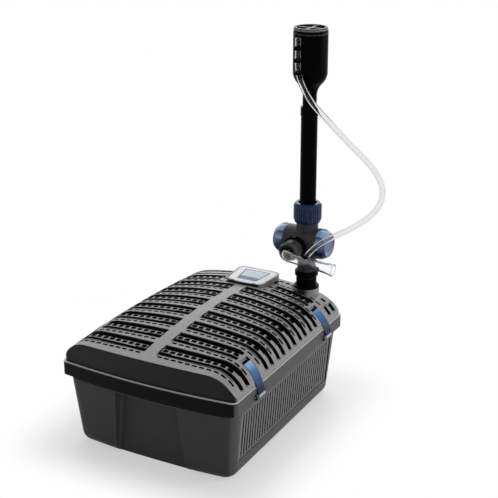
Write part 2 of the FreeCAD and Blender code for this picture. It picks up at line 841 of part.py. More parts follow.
def distributor_body():
    """T-piece: spigot and throat below, drum across with the regulators, port forwards, cup above."""
    throat = rod("throat", "throat_radius", "drum_height - socket_top - 1", riser_at("socket_top + 1"))
    spigot = rod("spigot", "spigot_radius", "drum_height - spigot_low", riser_at("spigot_low"))
    neck = rod("neck", "neck_radius", "neck_top - drum_height", riser_at("drum_height"))
    sleeve = rod("sleeve", "cup_radius", "ball_height - neck_top - 1", riser_at("neck_top"))
    drum = rod("drum", "drum_radius", "drum_half * 2",
               riser_at("drum_height", "drum_offset - drum_half"), "x")
    port = rod("port", "port_radius", "insert_to - 2", riser_at("port_height", "port_offset"), "-y")
    body = fused("distributor_solid", [throat, spigot, neck, sleeve, drum, port])
    through = rod("through", "bore_radius", "ball_height - spigot_low", riser_at("spigot_low - 1"))
    seat = rod("seat", "ball_radius - 1.5", "40", riser_at("ball_height - ball_radius - 1.5"))
    mouth = rod("mouth", "ball_radius + fit_gap", "40", riser_at("ball_height - 8"))
    cross = rod("cross_bore", "drum_bore", "drum_half * 2 + 2",
                riser_at("drum_height", "drum_offset - drum_half - 1"), "x")
    outlet = rod("port_bore", "mixer_radius + running_gap", "60",
                 riser_at("port_height", "port_offset"), "-y")
    return cut("distributor_body", body, [through, seat, mouth, cross, outlet])


def port_ring():
    """Union ring on the port; its z axis points out of the port."""
    profile = [
        ("port_radius + fit_gap", "port_ring_from"), ("port_ring_radius - 1", "port_ring_from"),
        ("port_ring_radius", "port_ring_from + 1"), ("port_ring_radius", "port_ring_to - 1.5"),
        ("port_ring_radius - 1.5", "port_ring_to"), ("port_radius + fit_gap", "port_ring_to"),
    ]
    return turned("port_ring", profile, riser_at("port_height", "port_offset"), "-y")


def port_insert():
    """Grey knurled ring that holds the air-mixing tube in the port."""
    profile = [
        ("port_radius + fit_gap", "port_ring_to + 0.2"), ("insert_radius", "port_ring_to + 0.2"),
        ("insert_radius", "insert_to"), ("insert_radius - 2", "insert_lip"),
        ("insert_radius - 4", "insert_lip"), ("insert_radius - 5", "insert_to + 1"),
        ("mixer_radius + running_gap", "insert_to + 1"), ("mixer_radius + running_gap", "insert_to - 1.7"),
        ("port_radius + fit_gap", "insert_to - 1.7"),
    ]
    return turned("port_insert", profile, riser_at("port_height", "port_offset"), "-y")


def regulator(name, side):
    """Scalloped knob and its valve plug on one end of the drum."""
    axis = "x" if side > 0 else "-x"
    face = "drum_offset + drum_half + 0.5" if side > 0 else "drum_offset - drum_half - 0.5"
    at = riser_at("drum_height", face)
    profile = [
        ("stem_radius + running_gap", "0"), ("knob_radius - 1", "0"), ("knob_radius", "1"),
        ("knob_radius", "knob_thick * 0.45", "40", "left"),
        ("knob_end_radius", "knob_thick", "50", "left"),
        ("knob_end_radius - 6", "knob_thick - knob_dish"), ("0", "knob_thick - knob_dish"),
        ("0", "knob_thick - 6"), ("stem_radius + running_gap", "knob_thick - 6"),
    ]
    knob = turned(f"regulator_knob_{name}", profile, at, axis)
    scalloped(knob, "knob_scallop", "knob_radius + knob_scallop * 0.72", "knob_count")
    plug = [
        ("0", "0 - drum_half + 3"), ("drum_bore - running_gap", "0 - drum_half + 3"),
        ("drum_bore - running_gap", "-1.5"), ("stem_radius", "-1.5"),
        ("stem_radius", "knob_thick - 6.2"), ("0", "knob_thick - 6.2"),
    ]
    return knob, turned(f"valve_plug_{name}", plug, at, axis)


def ball_seat():
    """Soft ring under the ball, its upper face touching the ball along a cone."""
    reach = "(ball_radius + fit_gap) * 0.7071"
    profile = [
        ("bore_radius + 0.2", "ball_height - ball_radius - 1.3"),
        ("ball_radius - 1.7", "ball_height - ball_radius - 1.3"),
        ("ball_radius - 1.7", f"ball_height - {reach} + (ball_radius - 1.7 - {reach})"),
        ("bore_radius + 0.2", f"ball_height - {reach} - ({reach} - bore_radius - 0.2)"),
    ]
    return turned("ball_seat", profile, riser_at("0"))


def clamp_nut():
    """Fluted nut that presses the ball into its seat."""
    sleeve, cone = "(cup_radius + 0.1)", "(ball_radius + fit_gap) * 1.4142"
    profile = [
        (sleeve, "nut_low"), ("nut_radius - 2", "nut_low"), ("nut_radius", "nut_low + 6"),
        ("nut_radius", "nut_high - 4"), ("nut_radius - 3", "nut_high"), (f"{cone} - 9.1", "nut_high"),
        (f"{cone} - 9.5", "ball_height + 9.5"), (sleeve, f"ball_height + {cone} - {sleeve}"),
    ]
    nut = turned("clamp_nut", profile, riser_at("0"))
    return scalloped(nut, "nut_scallop", "nut_radius + nut_scallop * 0.6", "nut_count")


def distributor_screws():
    """Four pan-head screws that close the drum's lid beside the neck."""
    screws = []
    for across in ("drum_offset - drum_half + 6", "drum_offset + drum_half - 6"):
        for along in ("-12", "12"):
            at = riser_at("drum_height + drum_radius * 0.866 - 4", across, along)
            screws.append(rod("screw", "2.4", "5.5", at))
    return screws


# ---------------------------------------------------------------- riser pipe and nozzle
def riser_pipe():
    """Ball, narrow neck and tube in one piece; the nozzle stem slides in its bore."""
    ball, bore, stem = "ball_radius", "bore_radius - 2", "stem_tube + running_gap"
    low = "ball_height - ball_radius * 0.8571"
    profile = [
        (bore, low), ("ball_radius * 0.5151", low, ball, "left"),
        ("ball_radius * 0.618", "ball_height + ball_radius * 0.7862"), ("ball_radius * 0.618", "pipe_low"),
        ("pipe_radius - 1.5", "pipe_low"), ("pipe_radius", "pipe_low + 2"),
        ("pipe_radius", "pipe_collar_low"), ("pipe_collar", "pipe_collar_low + 0.8"),
        ("pipe_collar", "pipe_top - 1"), ("pipe_collar - 1", "pipe_top"), (stem, "pipe_top"),
        (stem, "stem_low - 6"), (bore, "stem_low - 9"),
    ]
    return turned("riser_pipe", profile, riser_at("0"))


def nozzle_head():
    """Stem, shoulder and hollow head in one turned piece."""
    rise = "(head_low - stem_top)"
    profile = [
        ("stem_bore", "stem_low"), ("stem_tube", "stem_low"),
        ("stem_tube", "stem_top", f"{rise} * 0.85", "right"),
        ("(stem_tube + head_radius) / 2", f"stem_top + {rise} * 0.52", f"{rise} * 0.85", "left"),
        ("head_radius", "head_low"), ("head_radius", "head_high"),
        ("head_radius - head_wall", "head_high"), ("head_radius - head_wall", "head_low"),
        ("stem_bore", f"stem_top + {rise} * 0.3"),
    ]
    return turned("nozzle_head", profile, riser_at("0"))


def nozzle_cap():
    """Ring with a cross grille that closes the head."""
    profile = [
        ("head_radius - head_wall - 1", "head_high - 4"),
        ("head_radius - head_wall - fit_gap", "head_high - 4"),
        ("head_radius - head_wall - fit_gap", "head_high"), ("cap_radius + 0.6", "head_high"),
        ("cap_radius + 0.6", "cap_top - 3.2"), ("cap_radius - 0.4", "cap_top - 2.8"),
        ("cap_radius - 0.4", "cap_top - 2.2"), ("cap_radius + 0.4", "cap_top - 1.6"),
        ("cap_radius - 0.8", "cap_top"), ("cap_radius - 3.5", "cap_top"),
        ("cap_radius - 4", "cap_top - 1"), ("cap_radius - 4", "head_high"),
    ]
    ring = turned("cap_ring", profile, riser_at("0"))
    arm = "cap_radius - 3.6"
    bars = [
        block("cap_bar", riser_at("cap_top - 4.5", f"-({arm})", "-2"), (f"({arm}) * 2", "4", "3.5")),
        block("cap_bar", riser_at("cap_top - 4.5", "-2", f"-({arm})"), ("4", f"({arm}) * 2", "3.5")),
    ]
    return fused("nozzle_cap", [ring] + bars)


# ---------------------------------------------------------------- air-mixing tube and hose
def rounded_path(points):
    """Straight runs joined by tangent arcs; each arc takes 0.45 of the shorter of its two runs."""
    edges, radii = [], []
    start = points[0]
    for before, corner, after in zip(points, points[1:], points[2:]):
        arriving, leaving = (corner - before).normalize(), (after - corner).normalize()
        half_turn = arriving.getAngle(leaving) / 2
        reach = 0.45 * min((corner - before).Length, (after - corner).Length)
        radius = reach / math.tan(half_turn)
        first, last = corner - arriving * reach, corner + leaving * reach
        centre_way = (leaving - arriving).normalize()
        middle = corner + centre_way * (radius / math.cos(half_turn) - radius)
        edges.append(Part.LineSegment(start, first).toShape())
        edges.append(Part.Arc(first, middle, last).toShape())
        radii.append(round(radius, 1))
        start = last
    edges.append(Part.LineSegment(start, points[-1]).toShape())
    return Part.Wire(edges), radii


def swept(path, radius):
    """Round solid of one radius along a path."""
    start, way = path.Edges[0].valueAt(path.Edges[0].FirstParameter), path.Edges[0].tangentAt(0)
    circle = Part.Wire(Part.makeCircle(radius, start, way))
    return path.makePipeShell([circle], True, True)


def mixer_path():
    """Out of the port towards the front, then round to the right with a slight fall."""
    across = size("riser_across + port_offset")
    along, height = size("mixer_along"), size("port_height")
    bend_radius = size("mixer_bend")
    end = Vector(size("mixer_reach"), along, height - size("mixer_fall"))
    corner = Vector(across, along, height)
    start = Vector(across, size("riser_along") - size("insert_to") + 12, height)
    leaving = (end - corner).normalize()
    reach = bend_radius * math.tan(Vector(0, -1, 0).getAngle(leaving) / 2)
    first, last = corner - Vector(0, -reach, 0), corner + leaving * reach
    half_turn = Vector(0, -1, 0).getAngle(leaving) / 2
    middle = corner + (leaving - Vector(0, -1, 0)).normalize() * (bend_radius / math.cos(half_turn) - bend_radius)
    edges = [Part.LineSegment(start, first), Part.Arc(first, middle, last), Part.LineSegment(last, end)]
    return Part.Wire([edge.toShape() for edge in edges]), end, leaving


def air_mixing_tube():
    """Clear bent tube with a flared mouth."""
    path, end, way = mixer_path()
    radius, bore = size("mixer_radius"), size("mixer_radius - mixer_wall")
    flare = size("mixer_flare")
    cone = Part.makeCone(radius, flare, 14, end - way * 14, way)
    hollow = Part.makeCone(bore, flare - 1.2, 15, end - way * 14, way)
    tube = swept(path, radius).fuse(cone).cut(swept(path, bore)).cut(hollow)
    return feature("air_mixing_tube", tube.removeSplitter())


def hose_nipple():
    """Saddle and spout on the mixing tube, in line with the hose's first run."""
    first, second = Vector(*HOSE_ROUTE[0]), Vector(*HOSE_ROUTE[1])
    way = (second - first).normalize()
    length = size("nipple_length")
    base = first - way * length
    saddle = Part.makeCylinder(size("hose_radius") + 0.9, length - 2.5, base, way)
    spout = Part.makeCylinder(size("hose_radius") - 1.1, length, base, way)
    tube = swept(mixer_path()[0], size("mixer_radius"))
    nipple = saddle.fuse(spout).cut(tube)
    return feature("hose_nipple", max(nipple.Solids, key=lambda solid: solid.CenterOfMass.z))


def hose_path():
    return rounded_path([Vector(*point) for point in HOSE_ROUTE])


def air_hose():
    """The hose along its whole route, cut where the riser's part begins."""
    points = [Vector(*point) for point in HOSE_ROUTE]
    path, radii = hose_path()
    hose = swept(path, size("hose_radius"))
    expected = math.pi * size("hose_radius") ** 2 * path.Length
    print("hose length", round(path.Length, 1), "volume / expected", round(hose.Volume / expected, 4))
    print("hose arc radii", radii, "runs", [round((b - a).Length, 1) for a, b in zip(points, points[1:])])
    near = wall_box((0, 0, 0), (size("hose_cut"), 300, 350))
    return feature("air_hose_lower", hose.common(near)), feature("air_hose_upper", hose.cut(near))


def hose_clips():
    """Three open clips on the nozzle head that hold the hose."""
    centre = Vector(size("riser_across"), size("riser_along"), 0)
    path = hose_path()[0].discretize(Distance=1)
    thick = size("hose_clip_height")
    clips_made = []
    for share in (0.06, 0.36, 0.66):
        height = size("head_low") + (size("head_high") - size("head_low")) * share
        on_hose = min(path, key=lambda point: abs(point.z - height - thick / 2))
        low = Vector(on_hose.x, on_hose.y, height)
        ring = Part.makeCylinder(size("hose_radius") + 2.2, thick, low)
        arm = wall_box((low.x - 2.5, low.y, height), (low.x + 2.5, low.y + 12, height + thick))
        bore = Part.makeCylinder(size("hose_radius") + 0.9, thick + 2, low - Vector(0, 0, 1))
        body = Part.makeCylinder(size("head_radius"), thick + 2, centre + Vector(0, 0, height - 1))
        clips_made.append(ring.fuse(arm).cut(bore).cut(body))
    return feature("hose_clips", Part.makeCompound(clips_made))


# ---------------------------------------------------------------- pump
def pump_at(across="0", along="0", height="0"):
    return (f"pump_across + {across}", f"pump_along + {along}", f"pump_height + {height}")


def pump_volute():
    """Spiral chamber's housing with its inlet at the right and the discharge column upwards."""
    disc = rod("volute_disc", "volute_radius", "volute_width", pump_at("-volute_width / 2"), "x")
    column = rod("volute_column", "outlet_radius", "discharge_top - pump_height",
                 pump_at("0", "discharge_offset"))
    solid = fused("volute_solid", [disc, column])
    chamber = rod("volute_chamber_cut", "volute_chamber", "volute_width - 5",
                  pump_at("-volute_width / 2 - 1"), "x")
    inlet = rod("volute_inlet", "12", "20", pump_at("0"), "x")
    bore = rod("volute_bore", "outlet_radius - outlet_wall - 0.5", "100", pump_at("0", "discharge_offset"))
    return cut("pump_volute", solid, [chamber, inlet, bore])


def pump_housing():
    """Motor block with the rotor's chamber and a flat base."""
    back = "-volute_width / 2 - motor_length"
    drum = rod("motor_drum", "motor_radius", "motor_length", pump_at(back), "x")
    base = block("motor_base", pump_at(f"{back} + 4", "-24", "-motor_radius - 1"),
                 ("motor_length - 8", "48", "motor_radius"))
    bore = rod("rotor_chamber", "rotor_radius + rotor_gap", "rotor_length + 10",
               pump_at("-volute_width / 2 - rotor_length - 4"), "x")
    return cut("pump_housing", fused("motor_solid", [drum, base]), [bore])


def pump_feet():
    low = "tub_wall"
    feet = []
    for across in ("-volute_width / 2 - motor_length + 14", "-volute_width / 2 - 14"):
        for along in ("-15", "15"):
            at = (f"pump_across + {across}", f"pump_along + {along}", low)
            feet.append(rod("pump_foot_pad", "pump_foot_radius",
                            "pump_height - motor_radius - 1 - tub_wall", at))
    return grouped("pump_feet", feet)


def rotor_shaft():
    length = "rotor_length + 10"
    return rod("rotor_shaft", "shaft_radius", length, pump_at("-volute_width / 2 - rotor_length - 4"), "x")


def rotor_bearings():
    """Bushes that hold the ceramic shaft at the blind end of the chamber and in the volute."""
    rings = []
    for across in ("-volute_width / 2 - rotor_length - 4",):
        outer = rod("bush", "rotor_radius + rotor_gap", "3", pump_at(across), "x")
        rings.append(cut("bush_ring", outer, [rod("bush_bore", "shaft_radius", "9",
                                                  pump_at(f"{across} - 3"), "x")]))
    return grouped("rotor_bearings", rings)


def impeller():
    """Magnet rotor with a bladed disc; its z axis is the shaft."""
    start = "-volute_width / 2 - rotor_length"
    bore = "shaft_radius + running_gap"
    profile = [
        (bore, "0"), ("rotor_radius", "0"), ("rotor_radius", "rotor_length + 1"),
        ("impeller_radius", "rotor_length + 1"), ("impeller_radius", "rotor_length + 3"),
        ("5", "rotor_length + 3"), ("5", "rotor_length + 8"), (bore, "rotor_length + 8"),
    ]
    body = turned("impeller", profile, pump_at(start), "x")
    sketch = new_sketch(body, "blade")
    sketch.setExpression("AttachmentOffset.Base.z", bound("rotor_length + 3"))
    outline(sketch, box_outline("4", "-0.8", "impeller_radius - 0.5", "0.8"))
    blade = body.newObject("PartDesign::Pad", "blade_pad")
    blade.Profile = sketch
    blade.setExpression("Length", bound("5"))
    body.Tip = blade
    pattern = body.newObject("PartDesign::PolarPattern", "blades")
    pattern.Originals = [blade]
    pattern.Axis = (plane(body, "Z_Axis"), [""])
    pattern.Angle = 360
    pattern.Occurrences = 6
    body.Tip = pattern
    return body


def outlet_pipe():
    """Tube from the discharge column, stepping back to stand under the riser."""
    along = size("pump_along + discharge_offset")
    across, rear = size("riser_across"), size("riser_along")
    low, high = size("discharge_top") + 2, size("socket_low") - 4
    rise, step = high - low, rear - along
    radius = (rise**2 + step**2) / (4 * step)
    angle = math.asin(rise / 2 / radius)
    quarter = Vector(across, along + radius * (1 - math.cos(angle / 2)), low + radius * math.sin(angle / 2))
    half = Vector(across, (along + rear) / 2, (low + high) / 2)
    three = Vector(across, rear - (quarter.y - along), high - (quarter.z - low))
    ends = [Vector(across, along, low - 0.5), Vector(across, along, low), half,
            Vector(across, rear, high), Vector(across, rear, size("outlet_top"))]
    path = Part.Wire([
        Part.makeLine(ends[0], ends[1]), Part.Arc(ends[1], quarter, half).toShape(),
        Part.Arc(half, three, ends[3]).toShape(), Part.makeLine(ends[3], ends[4]),
    ])
    outer, inner = size("outlet_radius"), size("outlet_radius - outlet_wall")
    socket = Part.makeCylinder(outer + 2.8, 16, Vector(across, along, size("discharge_top") - 14))
    socket_bore = Part.makeCylinder(size("outlet_radius + running_gap"), 14,
                                    Vector(across, along, size("discharge_top") - 14))
    tube = swept(path, outer).fuse(socket).cut(swept(path, inner)).cut(socket_bore)
    opening = Part.makeCylinder(inner, 5, Vector(across, along, size("discharge_top") - 2))
    return feature("outlet_pipe", tube.cut(opening))


def outlet_seal():
    """Flat seal between the top of the outlet pipe and the socket's shoulder."""
    profile = ring_profile("outlet_radius - outlet_wall", "outlet_radius", "outlet_top", "outlet_top + 1")
    return turned("outlet_seal", profile, riser_at("0"))


# ---------------------------------------------------------------- uvc unit
def uvc_at(along):
    return ("uvc_across", along, "uvc_height")


def uvc_housing():
    length = "uvc_rear - uvc_front"
    profile = [
        ("uvc_radius - uvc_wall", "0"), ("uvc_radius", "0"), ("uvc_radius", f"{length} - 4"),
        ("uvc_radius - 4", length), ("0", length), ("0", f"{length} - uvc_wall"),
        ("uvc_radius - uvc_wall", f"{length} - uvc_wall - 4"),
    ]
    return turned("uvc_housing", profile, uvc_at("uvc_front"), "y")


def uvc_lamp_head():
    profile = [
        ("0", "-11"), ("uvc_radius - 4", "-11"), ("uvc_radius + 1", "-8"), ("uvc_radius + 1", "-1.6"),
        ("uvc_radius - uvc_wall - fit_gap", "-1.6"), ("uvc_radius - uvc_wall - fit_gap", "8"),
        ("quartz_radius + fit_gap", "8"), ("quartz_radius + fit_gap", "2"), ("0", "2"),
    ]
    return turned("uvc_lamp_head", profile, uvc_at("uvc_front"), "y")


def uvc_seal():
    profile = ring_profile("uvc_radius - uvc_wall", "uvc_radius", "-1.6", "0")
    return turned("uvc_seal", profile, uvc_at("uvc_front"), "y")


def quartz_sleeve():
    length = "uvc_rear - uvc_front - 24"
    profile = [
        ("quartz_radius - quartz_wall", "2"), ("quartz_radius", "2"),
        ("quartz_radius", length, "quartz_radius", "left"), ("0", f"{length} + quartz_radius"),
        ("0", f"{length} + quartz_radius - quartz_wall", "quartz_radius - quartz_wall", "right"),
        ("quartz_radius - quartz_wall", length),
    ]
    return turned("quartz_sleeve", profile, uvc_at("uvc_front"), "y")


def uvc_lamp():
    return rod("uvc_lamp", "lamp_radius", "uvc_rear - uvc_front - 34", uvc_at("uvc_front + 2"), "y")


def uvc_cradles():
    """Two saddles that carry the lamp housing."""
    saddles = []
    for along in ("uvc_front + 34", "uvc_rear - 46"):
        stand = block("saddle", ("uvc_across - 18", along, "tub_wall"), ("36", "12", "uvc_height - 14"))
        groove = rod("saddle_groove", "uvc_radius + fit_gap", "20",
                     ("uvc_across", f"{along} - 4", "uvc_height"), "y")
        saddles.append(cut("saddle_cut", stand, [groove]))
    return grouped("uvc_cradles", saddles)


# ---------------------------------------------------------------- filter media
def foam(label, front, rear):
    return padded(label, box_outline("-foam_half_width", front, "foam_half_width", rear), "foam_height",
                  ("0", "0", "tub_wall + fit_gap"))


def media_basket():
    """Open crate with slotted walls."""
    width, depth = "basket_right - basket_left", "basket_rear - basket_front"
    floor = "tub_wall"
    crate = block("crate", ("basket_left", "basket_front", floor), (width, depth, "basket_height"))
    hollow = block("crate_hollow", ("basket_left + basket_wall", "basket_front + basket_wall",
                                    f"{floor} + basket_wall"),
                   (f"{width} - basket_wall * 2", f"{depth} - basket_wall * 2", "basket_height"))
    windows = []
    for index in range(4):
        place_x = f"basket_left + ({width}) * {0.14 + 0.2 * index}"
        windows.append(block("crate_window", (place_x, "basket_front - 1", f"{floor} + 16"),
                             ("11", f"{depth} + 2", "basket_height - 34")))
        place_y = f"basket_front + ({depth}) * {0.14 + 0.2 * index}"
        windows.append(block("crate_window", ("basket_left - 1", place_y, f"{floor} + 16"),
                             (f"{width} + 2", "11", "basket_height - 34")))
    return cut("media_basket", crate, [hollow] + windows)


def media_rings():
    """Hollow ceramic rings that stand in the basket."""
    floor = "tub_wall + basket_wall"
    rings = []
    for column in range(2):
        for line in range(3):
            across = f"basket_left + (basket_right - basket_left) * {0.26 + 0.48 * column}"
            along = f"basket_front + (basket_rear - basket_front) * {0.18 + 0.32 * line}"
            outer = rod("media_ring", "media_radius", "media_length", (across, along, floor))
            bore = rod("media_bore", "media_radius * 0.6", "media_length + 2", (across, along, floor))
            rings.append(cut("media_ring_cut", outer, [bore]))
    return grouped("media_rings", rings)


def cable_gland():
    """Gland in the rear wall; its z axis points out of the tub."""
    pad_face = "9.5"
    profile = [
        ("4", "-8"), ("gland_radius", "-8"), ("gland_radius", pad_face),
        ("gland_radius + 4", pad_face), ("gland_radius + 4", f"{pad_face} + 4"),
        ("gland_radius + 1.5", f"{pad_face} + 7"), ("gland_radius + 1.5", f"{pad_face} + 15"),
        ("gland_radius - 2", f"{pad_face} + 18"), ("4", f"{pad_face} + 18"),
    ]
    gland = turned("cable_gland", profile, ("gland_across", "tub_half_length", "gland_height"), "y")
    return gland


# ---------------------------------------------------------------- build and export
def build():
    node(lower_tub())
    node(upper_cover())
    node(label_plate())
    clips()
    node(clip_pins())
    node(cable_gland())
    node(riser_socket())
    node(outlet_pipe())
    node(outlet_seal())
    node(pump_housing())
    node(pump_volute())
    node(pump_feet())
    node(rotor_shaft())
    node(rotor_bearings())
    node(impeller())
    for maker in (uvc_housing, uvc_lamp_head, uvc_seal, quartz_sleeve, uvc_lamp, uvc_cradles):
        node(maker())
    node(foam("foam_coarse", "foam_front", "foam_middle"))
    node(foam("foam_fine", "foam_middle + 2", "foam_rear"))
    node(media_basket())
    node(media_rings())
    node(swivel_collar())
    node(distributor_body())
    node(port_ring())
    node(port_insert())
    for name, side in (("left", -1), ("right", 1)):
        for piece in regulator(name, side):
            node(piece)
    node(ball_seat())
    node(clamp_nut())
    node(riser_pipe())
    node(nozzle_head())
    node(nozzle_cap())
    node(air_mixing_tube())
    node(hose_nipple())
    for piece in air_hose():
        node(piece)
    node(hose_clips())


def check_and_export():
    """Stops on any failed object, then writes one STEP file for each sub-part."""
    doc.recompute()
    for obj in doc.Objects:
        if {"Invalid", "Error"} & set(obj.State):
            raise RuntimeError(f"{obj.Label} failed: {obj.State}")
    for piece in NODES:
        if piece.Shape.isNull() or not piece.Shape.isValid() or not piece.Shape.Solids:
            raise RuntimeError(f"{piece.Label} has no valid shape")
    os.makedirs("parts", exist_ok=True)
    for piece in NODES:
        piece.Shape.exportStep(f"parts/{piece.Label}.step")


build()
check_and_export()
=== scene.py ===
"""Looks of the pond filter: finishes, clear hose, cover perforations, label, trim and studio."""

import itertools
import json
import logging
import math
from dataclasses import dataclass, field
from enum import Enum
from functools import cached_property, reduce
from typing import ClassVar, Iterable, Sequence

import bmesh
import bpy
import mathutils.noise
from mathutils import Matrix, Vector
from mathutils.bvhtree import BVHTree


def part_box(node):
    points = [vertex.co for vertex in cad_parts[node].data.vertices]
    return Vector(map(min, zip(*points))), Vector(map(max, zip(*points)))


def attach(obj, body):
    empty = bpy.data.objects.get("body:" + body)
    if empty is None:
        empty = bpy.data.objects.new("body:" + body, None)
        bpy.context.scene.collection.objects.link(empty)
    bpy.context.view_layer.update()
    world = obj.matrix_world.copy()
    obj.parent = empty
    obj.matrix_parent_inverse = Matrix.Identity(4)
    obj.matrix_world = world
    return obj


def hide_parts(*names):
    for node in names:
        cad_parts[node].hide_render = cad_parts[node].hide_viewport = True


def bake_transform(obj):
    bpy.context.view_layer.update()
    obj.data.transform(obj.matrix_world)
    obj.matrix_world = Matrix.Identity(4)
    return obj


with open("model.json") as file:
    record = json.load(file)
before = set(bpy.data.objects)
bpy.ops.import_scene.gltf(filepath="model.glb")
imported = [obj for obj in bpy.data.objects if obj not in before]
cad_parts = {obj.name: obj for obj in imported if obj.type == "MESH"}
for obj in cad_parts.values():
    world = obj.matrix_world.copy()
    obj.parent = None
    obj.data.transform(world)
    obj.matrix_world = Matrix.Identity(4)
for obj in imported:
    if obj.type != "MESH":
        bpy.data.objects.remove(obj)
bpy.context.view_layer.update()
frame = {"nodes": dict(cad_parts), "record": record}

MM = 0.001
log = logging.getLogger("pond_filter")
READY: dict[str, bpy.types.Material] = {}

Node = bpy.types.Node
Object = bpy.types.Object
Socket = bpy.types.NodeSocket
Span = tuple[float, float]
Point = tuple[float, float, float]
Colour = tuple[float, float, float]
UNIT: Span = (0.0, 1.0)
NO_VECTOR: Point = (0.0, 0.0, 0.0)
SEEN_RAYS = ("Camera", "Glossy", "Transmission")

# The mix node's colour inputs and output share their names with its other kinds.
MIX_INPUTS = (0, 6, 7)
MIX_OUTPUT = 2

# Finishes: the noise's useful range and scales, and what counts as an edge, which gets a painted
# highlight, or as edge on, where a clear wall gets painted shade.
NOISE_RANGE: Span = (0.3, 0.7)
CLOUD_SCALE, HAZE_SCALE = 22.0, 60.0
EDGE_TURN: Span = (0.99, 0.85)
EDGE_ON: Span = (0.40, 0.85)
BEVEL_SAMPLES = 4
COAT_ROUGHNESS = 0.1

# Zones of painted light and shade: parts of a face's normal, then places in metres, then factors
# and colours.
WALL_SLOPE: Span = (0.80, 0.95)
UNDER_SLOPE: Span = (-0.1, -0.3)
APRON_SLOPE: Span = (0.42, 0.55)
FACET_SLOPE: Span = (-0.28, 0.75)
SIDE_SLOPE, END_SLOPE, LEDGE_SLOPE, SLOPE_FADE = 0.70, 0.80, 0.80, 0.1
SLIT_ENDS: Span = (0.1745, 0.1725)
APRON_START: Span = (0.150, 0.154)
RIM_HEIGHTS: Span = (0.1075, 0.1315)
RIB_HEIGHTS: Span = (0.026, 0.1015)
RIB_REACH, RIB_SIDE, LEDGE_HEIGHT, SOFT_STEP = 0.1475, 0.11, 0.1305, 0.0008
CLIP_HEIGHTS: Span = (0.110, 0.165)
# Painted shade on slit walls, aprons, the tub's front rim and rib ends; painted light on the tub's
# sides and side ribs; a painted highlight on its ledge.
SLIT_SHADE, APRON_SHADE, RIM_SHADE, RIB_SHADE = 0.025, 0.035, 0.07, 0.03
SIDE_PAINTED_LIGHT, RIB_PAINTED_LIGHT = 1.6, 1.8
LEDGE_PAINTED_HIGHLIGHT: Colour = (0.78, 0.78, 0.78)
# Painted shade under a knob and painted light on its top.
FACET_PAINTED_SHADE: Colour = (0.005, 0.016, 0.068)
FACET_PAINTED_LIGHT: Colour = (0.300, 0.440, 0.660)
# A clip's painted light and shade by height: a painted highlight for a hinge barrel, painted shade
# in a notch, then navy in painted shade up to a painted highlight at the top.
CLIP_PAINTED_STOPS: tuple[tuple[float, Colour], ...] = (
    (0.1148, (0.30, 0.42, 0.68)), (0.1208, (0.42, 0.55, 0.80)),
    (0.1218, (0.003, 0.006, 0.016)), (0.1290, (0.004, 0.012, 0.040)),
    (0.1370, (0.024, 0.070, 0.180)), (0.1450, (0.026, 0.120, 0.33)),
    (0.1530, (0.050, 0.190, 0.44)), (0.1600, (0.26, 0.46, 0.70)),
)


class Body(str, Enum):
    """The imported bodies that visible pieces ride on."""

    ROOT = "root"
    DISTRIBUTOR = "distributor"
    RISER = "riser"
    NOZZLE = "nozzle"


class Zone(Enum):
    """Which painted light and shade change a finish's tone over its piece."""

    NONE = "none"
    COVER = "cover"
    TUB = "tub"
    CLIP = "clip"
    FACETS = "facets"


